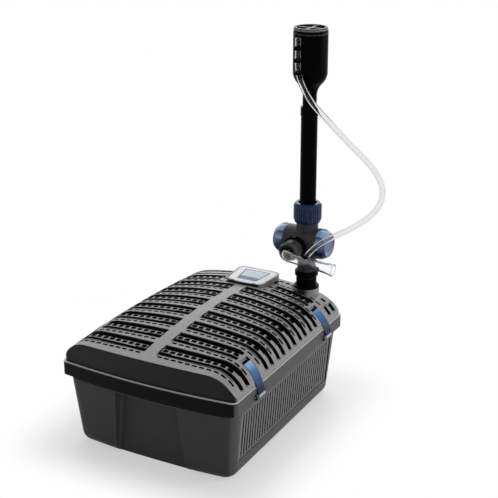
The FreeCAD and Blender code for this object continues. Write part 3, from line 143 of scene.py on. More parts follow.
@dataclass(frozen=True)
class Graph:
    """A node tree, with the few kinds of node that the finishes and the studio are made of."""

    tree: bpy.types.NodeTree

    def add(self, kind: str, *values: Socket | Sequence[float] | float,
            **settings: str | int) -> Node:
        """Adds a shader node.

        Args:
            kind: Its type's name, without the first part.
            values: What its first inputs get, in order.
            settings: Its own properties.

        Returns:
            The node.
        """
        node = self.tree.nodes.new(f"ShaderNode{kind}")
        for name, value in settings.items():
            setattr(node, name, value)
        for target, value in zip(node.inputs, values):
            self.feed(target, value)
        return node

    def feed(self, target: Socket, value: Socket | Sequence[float] | float) -> None:
        """Links an output to an input, or sets the input to a constant.

        Args:
            target: The input.
            value: The output or the constant.
        """
        if isinstance(value, Socket):
            self.tree.links.new(value, target)
        else:
            target.default_value = value

    @cached_property
    def place(self) -> Socket:
        """Object coordinates."""
        return self.add("TexCoord").outputs["Object"]

    def noise(self, scale: float, detail: float) -> Socket:
        """Adds noise of some waves per metre and octaves, read at the object's coordinates."""
        return self.add("TexNoise", self.place, 0.0, scale, detail).outputs[0]

    def mapped(self, value: Socket, source: Span, target: Span = UNIT) -> Socket:
        """Maps a value from one range to another, held at its ends."""
        return self.add("MapRange", value, *source, *target).outputs["Result"]

    def mixed(self, share: Socket, low: Socket | Colour, high: Colour) -> Socket:
        """Mixes two colours by a value.

        Args:
            share: The value.
            low: Colour at 0, plain or from another node.
            high: Colour at 1.

        Returns:
            The mixed colour.
        """
        mix = self.add("Mix", data_type="RGBA")
        low = low if isinstance(low, Socket) else (*low, 1.0)
        for place, value in zip(MIX_INPUTS, (share, low, (*high, 1.0))):
            self.feed(mix.inputs[place], value)
        return mix.outputs[MIX_OUTPUT]

    def maths(self, operation: str, *values: Socket) -> Socket:
        """Works on one or two values."""
        return self.add("Math", *values, operation=operation).outputs["Value"]

    def vectors(self, operation: str, *values: Socket | Sequence[float]) -> Node:
        """Works on one or two vectors, and a scale as the fourth input."""
        return self.add("VectorMath", *values, operation=operation)

    def folded(self, operation: str, *values: Socket) -> Socket:
        """Works through any number of values, two at a time."""
        return reduce(lambda one, other: self.maths(operation, one, other), values)

    def product(self, *values: Socket) -> Socket:
        """Multiplies values."""
        return self.folded("MULTIPLY", *values)

    def absolute(self, value: Socket) -> Socket:
        """Gives a value's size without its sign."""
        return self.maths("ABSOLUTE", value)

    def scaled(self, tone: Socket, factor: Socket) -> Socket:
        """Multiplies a colour by a value."""
        return self.vectors("SCALE", tone, NO_VECTOR, NO_VECTOR, factor).outputs["Vector"]

    def split(self, vector: Socket) -> tuple[Socket, ...]:
        """Parts a vector into X, Y and Z."""
        return tuple(self.add("SeparateXYZ", vector).outputs)

    def normal(self, kind: str = "True Normal") -> Socket:
        """Gives the face's own normal, or the shaded one."""
        return self.add("NewGeometry").outputs[kind]

    def above(self, value: Socket, least: float, soft: float = SOFT_STEP) -> Socket:
        """Gives 1 from a value up and 0 below it, with a soft step."""
        return self.mapped(value, (least - soft, least))

    def below(self, value: Socket, most: float, soft: float = SOFT_STEP) -> Socket:
        """Gives 1 up to a value and 0 beyond it, with a soft step."""
        return self.mapped(value, (most, most + soft), (1.0, 0.0))

    def softened(self, radius: float) -> Socket:
        """Gives the normal with edges rounded by a radius."""
        return self.add("Bevel", radius, samples=BEVEL_SAMPLES).outputs["Normal"]

    def seen_rays(self) -> Socket:
        """Gives 1 for rays that see the surroundings: direct, in gloss and through glass."""
        rays = self.add("LightPath").outputs
        return self.folded("MAXIMUM", *(rays[f"Is {kind} Ray"] for kind in SEEN_RAYS))


@dataclass(frozen=True)
class ZoneGraph(Graph):
    """A finish's nodes, with the painted light and shade that change over a piece."""

    def slit_painted_shade(self) -> Socket:
        """Paints shade on the walls inside the cover's slits and on everything that faces down.

        Returns:
            A factor for the colour: 1 outside and near 0 in the slits.
        """
        # Painted shade: slit walls and faces that point down are darkened.
        _, facing_y, facing_z = self.split(self.normal())
        along = self.absolute(self.split(self.place)[1])
        deep = self.product(self.mapped(self.absolute(facing_y), WALL_SLOPE),
                            self.mapped(along, SLIT_ENDS))
        most = self.maths("MAXIMUM", deep, self.mapped(facing_z, UNDER_SLOPE))
        return self.mapped(most, UNIT, (1.0, SLIT_SHADE))

    def apron_painted_shade(self) -> Socket:
        """Paints shade on the aprons at the cover's front and rear.

        Returns:
            A factor for the colour: 1 on the grained top and low on the aprons.
        """
        # Painted shade on the front and rear aprons.
        facing = self.absolute(self.split(self.normal("Normal"))[1])
        along = self.absolute(self.split(self.place)[1])
        apron_painted_shade = self.product(self.mapped(facing, APRON_SLOPE), self.mapped(along, APRON_START))
        return self.mapped(apron_painted_shade, UNIT, (1.0, APRON_SHADE))

    def tub_painted_light_and_shade(self, tone: Socket) -> Socket:
        """Paints light and shade on the tub: a painted highlight on the ledge, painted shade on the
        front rim and on the rib walls that face front and rear, and painted light on the sides and
        side ribs.

        Args:
            tone: The colour so far.

        Returns:
            The colour with the tub's painted light and shade.
        """
        facing_x, facing_y, facing_z = self.split(self.normal())
        across, along, height = self.split(self.place)
        side = self.above(self.absolute(facing_x), SIDE_SLOPE, SLOPE_FADE)
        end = self.above(self.absolute(facing_y), END_SLOPE, SLOPE_FADE)
        rim, ribs = (self.product(self.above(height, low), self.below(height, high))
                     for low, high in (RIM_HEIGHTS, RIB_HEIGHTS))
        ribs = self.product(ribs, self.below(self.absolute(along), RIB_REACH),
                            self.above(self.absolute(across), RIB_SIDE))
        # Painted shade on the front rim and rib ends; painted light on the sides and side ribs.
        for share, factor in ((self.product(end, rim), RIM_SHADE), (side, SIDE_PAINTED_LIGHT),
                              (self.product(side, ribs), RIB_PAINTED_LIGHT),
                              (self.product(end, ribs), RIB_SHADE)):
            tone = self.scaled(tone, self.mapped(share, UNIT, (1.0, factor)))
        # A painted highlight on the rim's upward ledge.
        ledge = self.product(self.above(facing_z, LEDGE_SLOPE, SLOPE_FADE),
                             self.above(height, LEDGE_HEIGHT))
        return self.mixed(ledge, tone, LEDGE_PAINTED_HIGHLIGHT)

    def clip_painted_light_and_shade(self) -> Socket:
        """Paints a clip's light and shade by height: a pale painted highlight for a hinge barrel,
        painted shade in a notch, a navy foot in painted shade and a painted highlight at the top.

        Returns:
            The colour.
        """
        # Painted highlight and shade by height, in place of the clip's own colour.
        ramp = self.add("ValToRGB")
        stops = ramp.color_ramp.elements
        for _ in CLIP_PAINTED_STOPS[len(stops):]:
            stops.new(0.5)
        low, high = CLIP_HEIGHTS
        for (height, colour), stop in zip(CLIP_PAINTED_STOPS, stops):
            stop.position, stop.color = (height - low) / (high - low), (*colour, 1.0)
        self.feed(ramp.inputs["Fac"], self.mapped(self.split(self.place)[2], CLIP_HEIGHTS))
        return ramp.outputs["Color"]

    def facet_painted_light_and_shade(self) -> Socket:
        """Paints a knob's light and shade: navy painted shade underneath to pale blue painted light
        on top.
        """
        # Painted light on facets that face up, painted shade on those that face down.
        return self.mixed(self.mapped(self.split(self.normal())[2], FACET_SLOPE),
                          FACET_PAINTED_SHADE, FACET_PAINTED_LIGHT)


@dataclass(frozen=True)
class Finish:
    """A moulded, turned or clear finish, with grain, colour variation and softened edges."""

    name: str
    colour: Colour
    roughness: float = 0.5
    grain_scale: float = 1800.0
    grain_height: float = 0.00003
    variation: float = 0.2
    speckle: float = 0.10
    # Share of a painted highlight on sharp edges.
    edge_painted_highlight: float = 0.0
    edge_radius: float = 0.0006
    metallic: float = 0.0
    coat: float = 0.0
    specular: float = 0.3
    zone: Zone = Zone.NONE
    spot_scale: ClassVar[float] = 160.0
    detail: ClassVar[float] = 2.0
    bump_strength: ClassVar[float] = 0.6
    soft_edges: ClassVar[bool] = True

    def material(self) -> bpy.types.Material:
        """Builds the node material once and returns it.

        Returns:
            The material of this finish's name.
        """
        if self.name in READY:
            return READY[self.name]
        made = READY[self.name] = bpy.data.materials.new(f"{self.name}_finish")
        made.use_nodes = True
        graph = ZoneGraph(made.node_tree)
        shader = graph.tree.nodes["Principled BSDF"]
        for name, value in self.sockets().items():
            shader.inputs[name].default_value = value
        graph.feed(shader.inputs["Base Color"], self.tone(graph))
        self._add_grain(graph, shader)
        return made

    def sockets(self) -> dict[str, float]:
        """Gives the shader's plain numbers."""
        return {"Metallic": self.metallic, "Coat Weight": self.coat,
                "Coat Roughness": COAT_ROUGHNESS, "Specular IOR Level": self.specular}

    def tone(self, graph: ZoneGraph) -> Socket:
        """Makes the base colour: its ground, fine speckle, painted edge highlights and its zone's
        painted light and shade.

        Args:
            graph: The material's nodes.

        Returns:
            The colour.
        """
        dots = graph.noise(self.grain_scale * 0.6, 1.0)
        dim = graph.mapped(dots, NOISE_RANGE, (1 - self.speckle, 1 + self.speckle))
        made = graph.scaled(self._ground(graph), dim)
        # A painted highlight on sharp edges.
        if self.edge_painted_highlight > 0:
            made = self._painted_edge_highlight(graph, made)
        # Painted shade on the cover; painted light and shade on the tub.
        if self.zone is Zone.COVER:
            made = graph.scaled(graph.scaled(made, graph.slit_painted_shade()), graph.apron_painted_shade())
        if self.zone is Zone.TUB:
            made = graph.tub_painted_light_and_shade(made)
        return made

    def _ground(self, graph: ZoneGraph) -> Socket:
        """Makes the colour before speckle: a slow variation, or the painted light and shade of a
        clip or knob.

        Args:
            graph: The material's nodes.

        Returns:
            The colour.
        """
        # A clip's or knob's painted light and shade stand in for its colour.
        if self.zone is Zone.CLIP:
            return graph.clip_painted_light_and_shade()
        if self.zone is Zone.FACETS:
            return graph.facet_painted_light_and_shade()
        low = tuple(c * (1 - self.variation * 0.5) for c in self.colour)
        high = tuple(min(1.0, c * (1 + self.variation * 0.5)) for c in self.colour)
        return graph.mixed(graph.noise(CLOUD_SCALE, 3.0), low, high)

    def _painted_edge_highlight(self, graph: ZoneGraph, tone: Socket) -> Socket:
        """Paints a highlight where the surface turns sharply.

        Args:
            graph: The material's nodes.
            tone: The colour so far.

        Returns:
            The colour with painted highlights on its edges.
        """
        turn = graph.vectors("DOT_PRODUCT", graph.softened(self.edge_radius), graph.normal())
        # The colour of the edges' painted highlight.
        pale = tuple(min(1.0, c + self.edge_painted_highlight) for c in self.colour)
        return graph.mixed(graph.mapped(turn.outputs["Value"], EDGE_TURN), tone, pale)

    def _spread(self) -> Span:
        """Gives the range of the roughness."""
        return max(0.02, self.roughness - 0.05), min(1.0, self.roughness + 0.05)

    def _add_grain(self, graph: ZoneGraph, shader: Node) -> None:
        """Links an uneven roughness, and a fine relief over softened edges.

        Args:
            graph: The material's nodes.
            shader: Its Principled shader.
        """
        spots = graph.noise(self.spot_scale, self.detail)
        graph.feed(shader.inputs["Roughness"], graph.mapped(spots, NOISE_RANGE, self._spread()))
        bump = graph.add("Bump", self.bump_strength, self.grain_height)
        graph.feed(bump.inputs["Height"], graph.noise(self.grain_scale, self.detail))
        if self.soft_edges:
            graph.feed(bump.inputs["Normal"], graph.softened(self.edge_radius))
        graph.feed(shader.inputs["Normal"], bump.outputs["Normal"])


@dataclass(frozen=True)
class ClearFinish(Finish):
    """A clear tube wall with painted shade where it is seen edge on, and a drawn tube's shallow
    waves.
    """

    # Colour of the painted shade where the wall is seen edge on.
    edge: Colour = (0.3, 0.31, 0.33)
    ior: float = 1.45
    spot_scale: ClassVar[float] = 90.0
    detail: ClassVar[float] = 1.0
    bump_strength: ClassVar[float] = 0.3
    soft_edges: ClassVar[bool] = False

    def _spread(self) -> Span:
        """Gives the range of the roughness."""
        return self.roughness * 0.6, self.roughness * 1.4

    def sockets(self) -> dict[str, float]:
        """Adds full transmission and the refractive index."""
        return super().sockets() | {"Transmission Weight": 1.0, "IOR": self.ior}

    def tone(self, graph: ZoneGraph) -> Socket:
        """Makes the wall's tint, with painted shade where it is seen edge on.

        Args:
            graph: The material's nodes.

        Returns:
            The tint.
        """
        # Painted shade where the wall is seen edge on.
        share = graph.mapped(graph.add("LayerWeight", 0.5).outputs["Facing"], EDGE_ON)
        haze = graph.mapped(graph.noise(HAZE_SCALE, 2.0), NOISE_RANGE, (1 - self.variation, 1.0))
        return graph.scaled(graph.mixed(share, self.colour, self.edge), haze)


# Each has its name, colour, roughness, grain's waves per metre and grain's depth, in that order.
# A finish's edge share below is a painted highlight on sharp edges.
FINISHES: dict[str, Finish] = {finish.name: finish for finish in (
    Finish("tub_black", (0.064, 0.064, 0.0645), 0.42, 1500, 0.00005, edge_painted_highlight=0.14,
           edge_radius=0.001, specular=0.055, zone=Zone.TUB),
    # The cover's mid grey is a painted sheen over dark plastic; its zone adds painted shade.
    Finish("cover_black", (0.31, 0.307, 0.302), 0.44, 1300, 0.00008, speckle=0.25,
           edge_painted_highlight=0.1, edge_radius=0.0008, specular=0.15, zone=Zone.COVER),
    Finish("label_white", (0.75, 0.76, 0.78), 0.3, 900, 0.00001, variation=0.05, speckle=0.02,
           specular=0.15),
    Finish("clip_blue", (0.012, 0.07, 0.25), 0.22, 900, 0.00001, speckle=0.03, specular=0.15,
           zone=Zone.CLIP),
    Finish("pin_steel", (0.55, 0.56, 0.57), 0.3, 2500, 0.00001, variation=0.1, metallic=1.0),
    Finish("riser_black", (0.0008, 0.0008, 0.0009), 0.24, 1600, 0.00002, edge_painted_highlight=0.03,
           edge_radius=0.0008, specular=0.02),
    Finish("body_black", (0.044, 0.042, 0.047), 0.36, 1500, 0.00003, edge_painted_highlight=0.12,
           edge_radius=0.0012, specular=0.15),
    Finish("knob_blue", (0.006, 0.02, 0.09), 0.2, 1100, 0.00002, speckle=0.03,
           edge_painted_highlight=0.22, edge_radius=0.0009, coat=0.05, specular=0.1),
    # Its zone paints light and shade on the knobs.
    Finish("knob_painted_facets", (0.065, 0.15, 0.3), 0.2, 1100, 0.00002, speckle=0.03,
           edge_radius=0.0014, coat=0.12, specular=0.15, zone=Zone.FACETS),
    Finish("insert_grey", (0.034, 0.035, 0.036), 0.36, 1400, 0.00003, edge_painted_highlight=0.35,
           specular=0.12),
    # A clear finish's edge colour is painted shade where its wall is seen edge on.
    ClearFinish("tube_clear", (0.98, 0.985, 0.99), 0.02, 60, 0.00001, variation=0.02,
                specular=1.0, edge=(0.01, 0.01, 0.012)),
    ClearFinish("hose_clear", (0.9, 0.905, 0.91), 0.03, 60, 0.000004, variation=0.02,
                edge=(0.05, 0.05, 0.06), specular=0.8, ior=1.16),
    Finish("seal_rubber", (0.01, 0.01, 0.01), 0.7, 900, 0.00005, specular=0.1),
    Finish("pump_dark", (0.02, 0.024, 0.032), 0.5, 1400, 0.00004, edge_painted_highlight=0.05),
    Finish("rotor_ferrite", (0.035, 0.034, 0.034), 0.6, 1900, 0.00005),
    Finish("bearing_ceramic", (0.6, 0.57, 0.51), 0.75, 700, 0.00015, variation=0.3),
    ClearFinish("quartz", (0.98, 0.99, 1.0), 0.03, 90, 0.00001, variation=0.02,
                edge=(0.5, 0.52, 0.55), ior=1.46),
    Finish("lamp_glass", (0.75, 0.75, 0.72), 0.3, 600, 0.00001, variation=0.05),
    Finish("foam_blue", (0.016, 0.045, 0.11), 0.95, 420, 0.0014, variation=0.5, speckle=0.4,
           specular=0.1),
    Finish("foam_dark", (0.012, 0.013, 0.014), 0.95, 620, 0.001, variation=0.5, speckle=0.4,
           specular=0.1),
    # Painted shade for the cover's holes, spine gaps and slit edges, and for the clip windows.
    Finish("hole_dark", (0.002, 0.002, 0.002), 0.95, 900, 0.00002, specular=0.02),
    # Painted shade for the sheet under the cover's slits.
    Finish("screen_dark", (0.004, 0.004, 0.004), 0.9, 900, 0.0003, variation=0.4, speckle=0.3,
           specular=0.03),
    # A strong painted highlight on the nozzle cap's grille edges.
    Finish("cap_black", (0.001, 0.001, 0.0011), 0.26, 1600, 0.00002, edge_painted_highlight=0.95,
           edge_radius=0.0011, specular=0.03),
    Finish("label_panel", (0.47, 0.55, 0.6), 0.3, 900, 0.00001, variation=0.05, speckle=0.02,
           specular=0.15),
    Finish("label_band", (0.03, 0.075, 0.24), 0.3, 900, 0.00001, variation=0.08,
           speckle=0.02, specular=0.15),
)}


def placed(name: str, data: bpy.types.ID) -> Object:
    """Makes an object of some data and links it to the scene.

    Args:
        name: Its name.
        data: Its mesh, curve, lamp or camera.

    Returns:
        The object.
    """
    made = bpy.data.objects.new(name, data)
    bpy.context.scene.collection.objects.link(made)
    return made


def mesh_piece(name: str, vertices: Iterable[Vector], faces: Iterable[Sequence[int]], finish: str,
               body: Body | None = Body.ROOT, smooth: bool = False) -> Object:
    """Makes a mesh object, dresses it, and sets it on the body it rides on.

    Args:
        name: The piece's name.
        vertices: Its points in metres.
        faces: Its faces as point numbers.
        finish: Which finish it gets.
        body: The body, or None for none.
        smooth: Whether its faces are shaded smoothly.

    Returns:
        The linked object.
    """
    mesh = bpy.data.meshes.new(name)
    mesh.from_pydata([tuple(point) for point in vertices], [], [tuple(face) for face in faces])
    shaped = bmesh.new()
    shaped.from_mesh(mesh)
    bmesh.ops.recalc_face_normals(shaped, faces=shaped.faces)
    shaped.to_mesh(mesh)
    shaped.free()
    for face in mesh.polygons:
        face.use_smooth = smooth
    mesh.materials.append(FINISHES[finish].material())
    piece = placed(name, mesh)
    if body is not None:
        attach(piece, body.value)
    return piece


def cover_tree() -> BVHTree:
    """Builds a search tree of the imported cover's faces.

    Returns:
        The tree.
    """
    cover = frame["nodes"]["upper_cover"].data
    return BVHTree.FromPolygons([vertex.co for vertex in cover.vertices],
                                [tuple(face.vertices) for face in cover.polygons])


@dataclass
class Camera:
    """The view from the front right, a little above the box."""

    place: Point = (0.82748, -1.40508, 0.88513)
    way: Point = (-0.44405, 0.82440, -0.35098)
    lens: float = 84.82
    sensor: float = 36.0

    def build(self) -> None:
        """Makes the camera and gives it to the scene."""
        data = bpy.data.cameras.new("camera")
        data.lens, data.sensor_width = self.lens, self.sensor
        camera = placed("camera", data)
        camera.location = self.place
        camera.rotation_mode = "QUATERNION"
        camera.rotation_quaternion = Vector(self.way).to_track_quat("-Z", "Y")
        bpy.context.scene.camera = camera


@dataclass
class HosePart:
    """One half of the clear air hose: a hollow tube along a fixed bent route.

    The fitted row is the ring that ends in a fitting and is closed; the other end meets the
    hose's other half and stays open.
    """

    name: str
    node: str
    points: Sequence[Point]
    bodies: tuple[Body, Body]
    start: Point
    end: Point
    far_end: str
    length: float
    fitted_row: int
    radius: float = 4.5 * MM
    bore: float = 3.0 * MM
    sides: int = 20
    order: int = 3
    resolution: int = 12

    def centre_line(self) -> list[Vector]:
        """Reads points from a NURBS spline with the route's points as its control points.

        Returns:
            The points that the tube follows.
        """
        data = bpy.data.curves.new(f"{self.name}_line", "CURVE")
        data.dimensions = "3D"
        spline = data.splines.new("NURBS")
        spline.points.add(len(self.points) - 1)
        for target, point in zip(spline.points, self.points):
            target.co = (*[value * MM for value in point], 1.0)
        spline.order_u, spline.resolution_u = self.order, self.resolution
        spline.use_endpoint_u = True
        line = placed(f"{self.name}_line", data)
        read = bpy.data.meshes.new_from_object(line)
        path = [vertex.co.copy() for vertex in read.vertices]
        bpy.data.objects.remove(line)
        bpy.data.curves.remove(data)
        bpy.data.meshes.remove(read)
        return path

    def build(self) -> Object:
        """Returns:
            The tube.
        """
        path = self.centre_line()
        vertices = [point for index in range(len(path)) for point in self._ring(path, index)]
        size = 2 * self.sides
        faces: list[tuple[int, ...]] = []
        for row in range(len(path) - 1):
            for side, wall in itertools.product(range(self.sides), (0, self.sides)):
                follower = (side + 1) % self.sides
                low, high = row * size + wall, (row + 1) * size + wall
                faces.append((low + side, low + follower, high + follower, high + side))
        outer = (self.fitted_row % len(path)) * size
        inner = outer + self.sides
        for side in range(self.sides):
            follower = (side + 1) % self.sides
            faces.append((outer + side, outer + follower, inner + follower, inner + side))
        tube = mesh_piece(self.name, vertices, faces, "hose_clear", None, True)
        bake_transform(tube)
        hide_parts(self.node)
        return tube

    def _ring(self, path: list[Vector], index: int) -> list[Vector]:
        """Gives the outer and then the inner circle at one point of the path.

        Args:
            path: The centre line.
            index: Which of its points.

        Returns:
            Twice as many points as the tube has sides.
        """
        before, after = path[max(index - 1, 0)], path[min(index + 1, len(path) - 1)]
        way = (after - before).normalized()
        across = way.cross(Vector((0, 1, 0))).normalized()
        up = across.cross(way)
        turns = [2 * math.pi * side / self.sides for side in range(self.sides)]
        return [path[index] + (across * math.cos(turn) + up * math.sin(turn)) * radius
                for radius in (self.radius, self.bore) for turn in turns]


@dataclass
class OnCover:
    """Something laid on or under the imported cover.

    Lengths across and along the cover are in millimetres. Lifts, and the heights and steps
    that a landing is tested against, are in metres.
    """

    cover: BVHTree = field(default_factory=cover_tree)
    ray_height: float = 0.3

    def landing(self, x: float, y: float) -> tuple[Vector | None, Vector | None]:
        """Drops a point on the cover from above.

        Args:
            x: Metres across.
            y: Metres along.

        Returns:
            Where it lands and the face's normal, or None for both.
        """
        start = Vector((x, y, self.ray_height))
        place, normal, _, _ = self.cover.ray_cast(start, Vector((0, 0, -1)))
        return place, normal


@dataclass
class Perforations(OnCover):
    """Painted shade on the cover: rows of small holes along its ribs, gaps at the spine and painted
    shadows along the slits' edges.

    A row has its distance from the window's rear edge, how much it widens towards the side
    and its holes' height. An edge has the first two and which way its margin lies; a slit
    has them for its middle.
    """

    half_width: float = 143.0
    first: float = -135.5
    pitch: float = 39.7
    windows: int = 9
    fan_rate: float = 0.075
    fan_centre: float = 30.0
    hole_long: float = 8.2
    hole_pitch: float = 11.2
    start: float = 18.0
    finish: float = 132.0
    rows: tuple[Point, ...] = ((12.75, 1.25, 6.4), (29.4, 4.0, 3.9))
    squareness: float = 0.35
    clearance: Span = (1.06, 1.15)
    most_step: float = 0.006
    spine_side: float = 9.9
    end_gap: float = 2.6
    end_reach: Span = (7.0, 18.5)
    end_inset: float = 0.3
    edges: tuple[Point, ...] = (
        (0.0, 0.0, -1.0), (7.0, 2.5, 1.0), (18.5, 0.0, -1.0), (23.2, 4.3, 1.0))
    slits: tuple[Span, ...] = ((3.5, 1.25), (3.5, 1.25), (20.85, 2.15), (20.85, 2.15))
    margin: Span = (0.1, 1.7)
    margin_step: float = 5.0
    margin_probe: float = 3.0
    side_space: float = 12.0
    lift: float = 0.00012
    corners: int = 16
    least_slope: float = 0.35
    heights: Span = (0.140, 0.184)

    def build(self) -> Object:
        """Lays every hole, gap and slit shadow on the cover's outer surface, as near-black patches
        of painted shade.

        Returns:
            One mesh of them all.
        """
        vertices: list[Vector] = []
        faces: list[tuple[int, ...]] = []
        holes = [self._hole(*place) for place in self._places()]
        for outline in holes + self._end_gaps() + self._slit_painted_shadows():
            if outline is None:
                continue
            base = len(vertices)
            vertices.extend(outline)
            count = len(outline) - 1
            faces.extend((base + count, base + k, base + (k + 1) % count) for k in range(count))
        return mesh_piece("cover_perforations", vertices, faces, "hole_dark")

    def _rears(self) -> list[float]:
        """Gives where each window's rear edge meets the spine."""
        return [self.first + window * self.pitch for window in range(self.windows)]

    def _fanned(self, rear: float, across: float, offset: float, widening: float) -> float:
        """Gives the place along the cover of a line that fans out from the spine."""
        share = (across / self.half_width) ** 2
        return rear - self.fan_rate * (rear + self.fan_centre) * share - offset - widening * share

    def _places(self) -> Iterable[Point]:
        """Gives each hole's middle across and along, and its height.

        Yields:
            Three lengths for each hole.
        """
        count = int((self.finish - self.start) // self.hole_pitch) + 1
        for rear, (offset, widening, short) in itertools.product(self._rears(), self.rows):
            for step in range(count):
                across = self.start + step * self.hole_pitch
                along = self._fanned(rear, across, offset, widening)
                yield across, along, short
                yield -across, along, short

    def _end_gaps(self) -> list[list[Vector] | None]:
        """Lays painted shade in the gap that parts each pair of slits from the spine.

        Returns:
            One outline with its middle for each gap.
        """
        gaps = []
        for rear, side in itertools.product(self._rears(), (-1, 1)):
            far = rear - self.end_reach[0] - self.end_inset
            near = rear - self.end_reach[1] + self.end_inset
            inner, outer = side * self.spine_side, side * (self.spine_side + self.end_gap)
            gaps.append(self._patch([(inner, far), (outer, far), (outer, near), (inner, near)]))
        return gaps

    def _slit_painted_shadows(self) -> list[list[Vector] | None]:
        """Lays a painted shadow along both edges of each open slit.

        Returns:
            One outline with its middle for each short piece of margin.
        """
        pieces = []
        steps = int((self.half_width - self.spine_side - self.side_space) // self.margin_step)
        for rear, (edge, slit), side, step in itertools.product(
                self._rears(), zip(self.edges, self.slits), (-1, 1), range(steps)):
            offset, widening, way = edge
            near, far = (offset + way * reach for reach in self.margin)
            low = self.spine_side + self.margin_step * step
            high = low + self.margin_step
            if any(self._drop(side * reach, self._fanned(rear, reach, *slit))
                   for reach in (low + self.margin_probe, high)):
                continue
            pieces.append(self._patch([
                (side * reach, self._fanned(rear, reach, gap, widening))
                for reach, gap in ((low, near), (high, near), (high, far), (low, far))]))
        return pieces

    def _patch(self, ends: Sequence[Span]) -> list[Vector] | None:
        """Drops corners and their middle on the cover.

        Args:
            ends: The corners.

        Returns:
            The corners and then the middle, or None where one of them misses.
        """
        centre = [sum(end[k] for end in ends) / len(ends) for k in range(2)]
        points = [self._drop(*end) for end in (*ends, centre)]
        return None if None in points else points

    def _hole(self, across: float, along: float, short: float) -> list[Vector] | None:
        """Lays one hole's outline and middle on the cover, as a patch of painted shade.

        Args:
            across: Its middle across.
            along: Its middle along.
            short: Its height.

        Returns:
            Outline points and then the middle, or None where the rib is too narrow for it.
        """
        middle = self._drop(across, along)
        if middle is None:
            return None
        points = []
        for corner in range(self.corners):
            turn = 2 * math.pi * corner / self.corners
            reach_x, reach_y = (
                math.copysign(abs(part) ** self.squareness, part) * size / 2
                for part, size in ((math.cos(turn), self.hole_long), (math.sin(turn), short)))
            point = self._drop(across + reach_x, along + reach_y)
            clear = self._drop(across + reach_x * self.clearance[0],
                               along + reach_y * self.clearance[1])
            if point is None or clear is None or abs(point.z - middle.z) > self.most_step:
                return None
            points.append(point)
        return points + [middle]

    def _drop(self, across: float, along: float) -> Vector | None:
        """Drops a point to just above the cover.

        Args:
            across: Millimetres across.
            along: Millimetres along.

        Returns:
            The place, or None over a slit, foot or plate edge.
        """
        place, normal = self.landing(across * MM, along * MM)
        low, high = self.heights
        if place is None or normal.z < self.least_slope or not low < place.z < high:
            return None
        return place + normal * self.lift


@dataclass
class SlitShadeSheet(OnCover):
    """A near-black sheet just under the cover: painted shade that closes the view through its
    slits.
    """

    half_width: float = 126.0
    half_length: float = 162.0
    step: float = 6.0
    scan: float = 2.0
    scan_beyond: float = 6.0
    least_slope: float = 0.2
    least_height: float = 0.136
    depth: float = 7.0
    skirt: float = 131.0
    pipe_low: Span = (62.0, 116.0)
    pipe_high: float = 116.0

    def build(self) -> Object:
        """Makes the painted shade as one crowned sheet with a skirt along both sides.

        Returns:
            The sheet.
        """
        across, along = (self._steps(half) for half in (self.half_width, self.half_length))
        vertices: list[Vector] = []
        for x in across:
            known = self._column(x)
            vertices += [Vector((x, y, self._height(known, y) - self.depth)) * MM for y in along]
        row = len(along)
        faces = [(i * row + j, (i + 1) * row + j, (i + 1) * row + j + 1, i * row + j + 1)
                 for i, j in itertools.product(range(len(across) - 1), range(row - 1))
                 if not (across[i + 1] > self.pipe_low[0] and across[i] < self.pipe_low[1]
                         and along[j + 1] > self.pipe_high)]
        for i in (0, len(across) - 1):
            base = len(vertices)
            vertices += [Vector((across[i], y, self.skirt)) * MM for y in along]
            faces += [(i * row + j, i * row + j + 1, base + j + 1, base + j)
                      for j in range(row - 1)]
        return mesh_piece("slit_shade_sheet", vertices, faces, "screen_dark",
                          smooth=True)

    def _steps(self, half: float) -> list[float]:
        """Parts a length about the middle into even steps."""
        count = int(2 * half / self.step)
        return [-half + 2 * half * k / count for k in range(count + 1)]

    def _column(self, x: float) -> list[Span]:
        """Reads the cover's outer height along one line from front to rear.

        Args:
            x: Millimetres across.

        Returns:
            Places along and heights, without the slits.
        """
        known = []
        reach = self.half_length + self.scan_beyond
        for step in range(int(2 * reach / self.scan) + 1):
            y = -reach + step * self.scan
            place, normal = self.landing(x * MM, y * MM)
            if place is None or normal.z <= self.least_slope or place.z <= self.least_height:
                continue
            known.append((y, place.z / MM))
        return known

    @staticmethod
    def _height(known: list[Span], y: float) -> float:
        """Reads a height between the nearest known places.

        Args:
            known: Places along and heights.
            y: Where the height is wanted.

        Returns:
            The height in millimetres.
        """
        before = max((item for item in known if item[0] <= y), default=known[0])
        after = min((item for item in known if item[0] >= y), default=known[-1])
        span = after[0] - before[0]
        share = (y - before[0]) / span if span > 0 else 0.0
        return before[1] + (after[1] - before[1]) * share


@dataclass
class ClipWindowShade(OnCover):
    """Painted shade on the floor of the finger window at the upper end of each clip."""

    clips: tuple[str, ...] = ("clip_front_left", "clip_front_right", "clip_rear_left",
                              "clip_rear_right")
    inner: float = 118.6
    outer: float = 124.8
    half: float = 8.8
    lift: float = 0.0002

    def build(self) -> Object:
        """Lays a patch of painted shade on the floor of each window.

        Returns:
            One mesh of all four.
        """
        vertices: list[Vector] = []
        faces: list[tuple[int, ...]] = []
        for name in self.clips:
            low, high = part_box(name)
            middle, side = (low.y + high.y) / 2, math.copysign(1.0, low.x + high.x)
            base = len(vertices)
            for across in (self.inner, (self.inner + self.outer) / 2, self.outer):
                for along in (-self.half, self.half):
                    place, normal = self.landing(side * across * MM, middle + along * MM)
                    vertices.append(place + normal * self.lift)
            faces += [(k, k + 1, k + 3, k + 2) for k in (base, base + 2)]
        return mesh_piece("clip_window_shade", vertices, faces, "hole_dark")


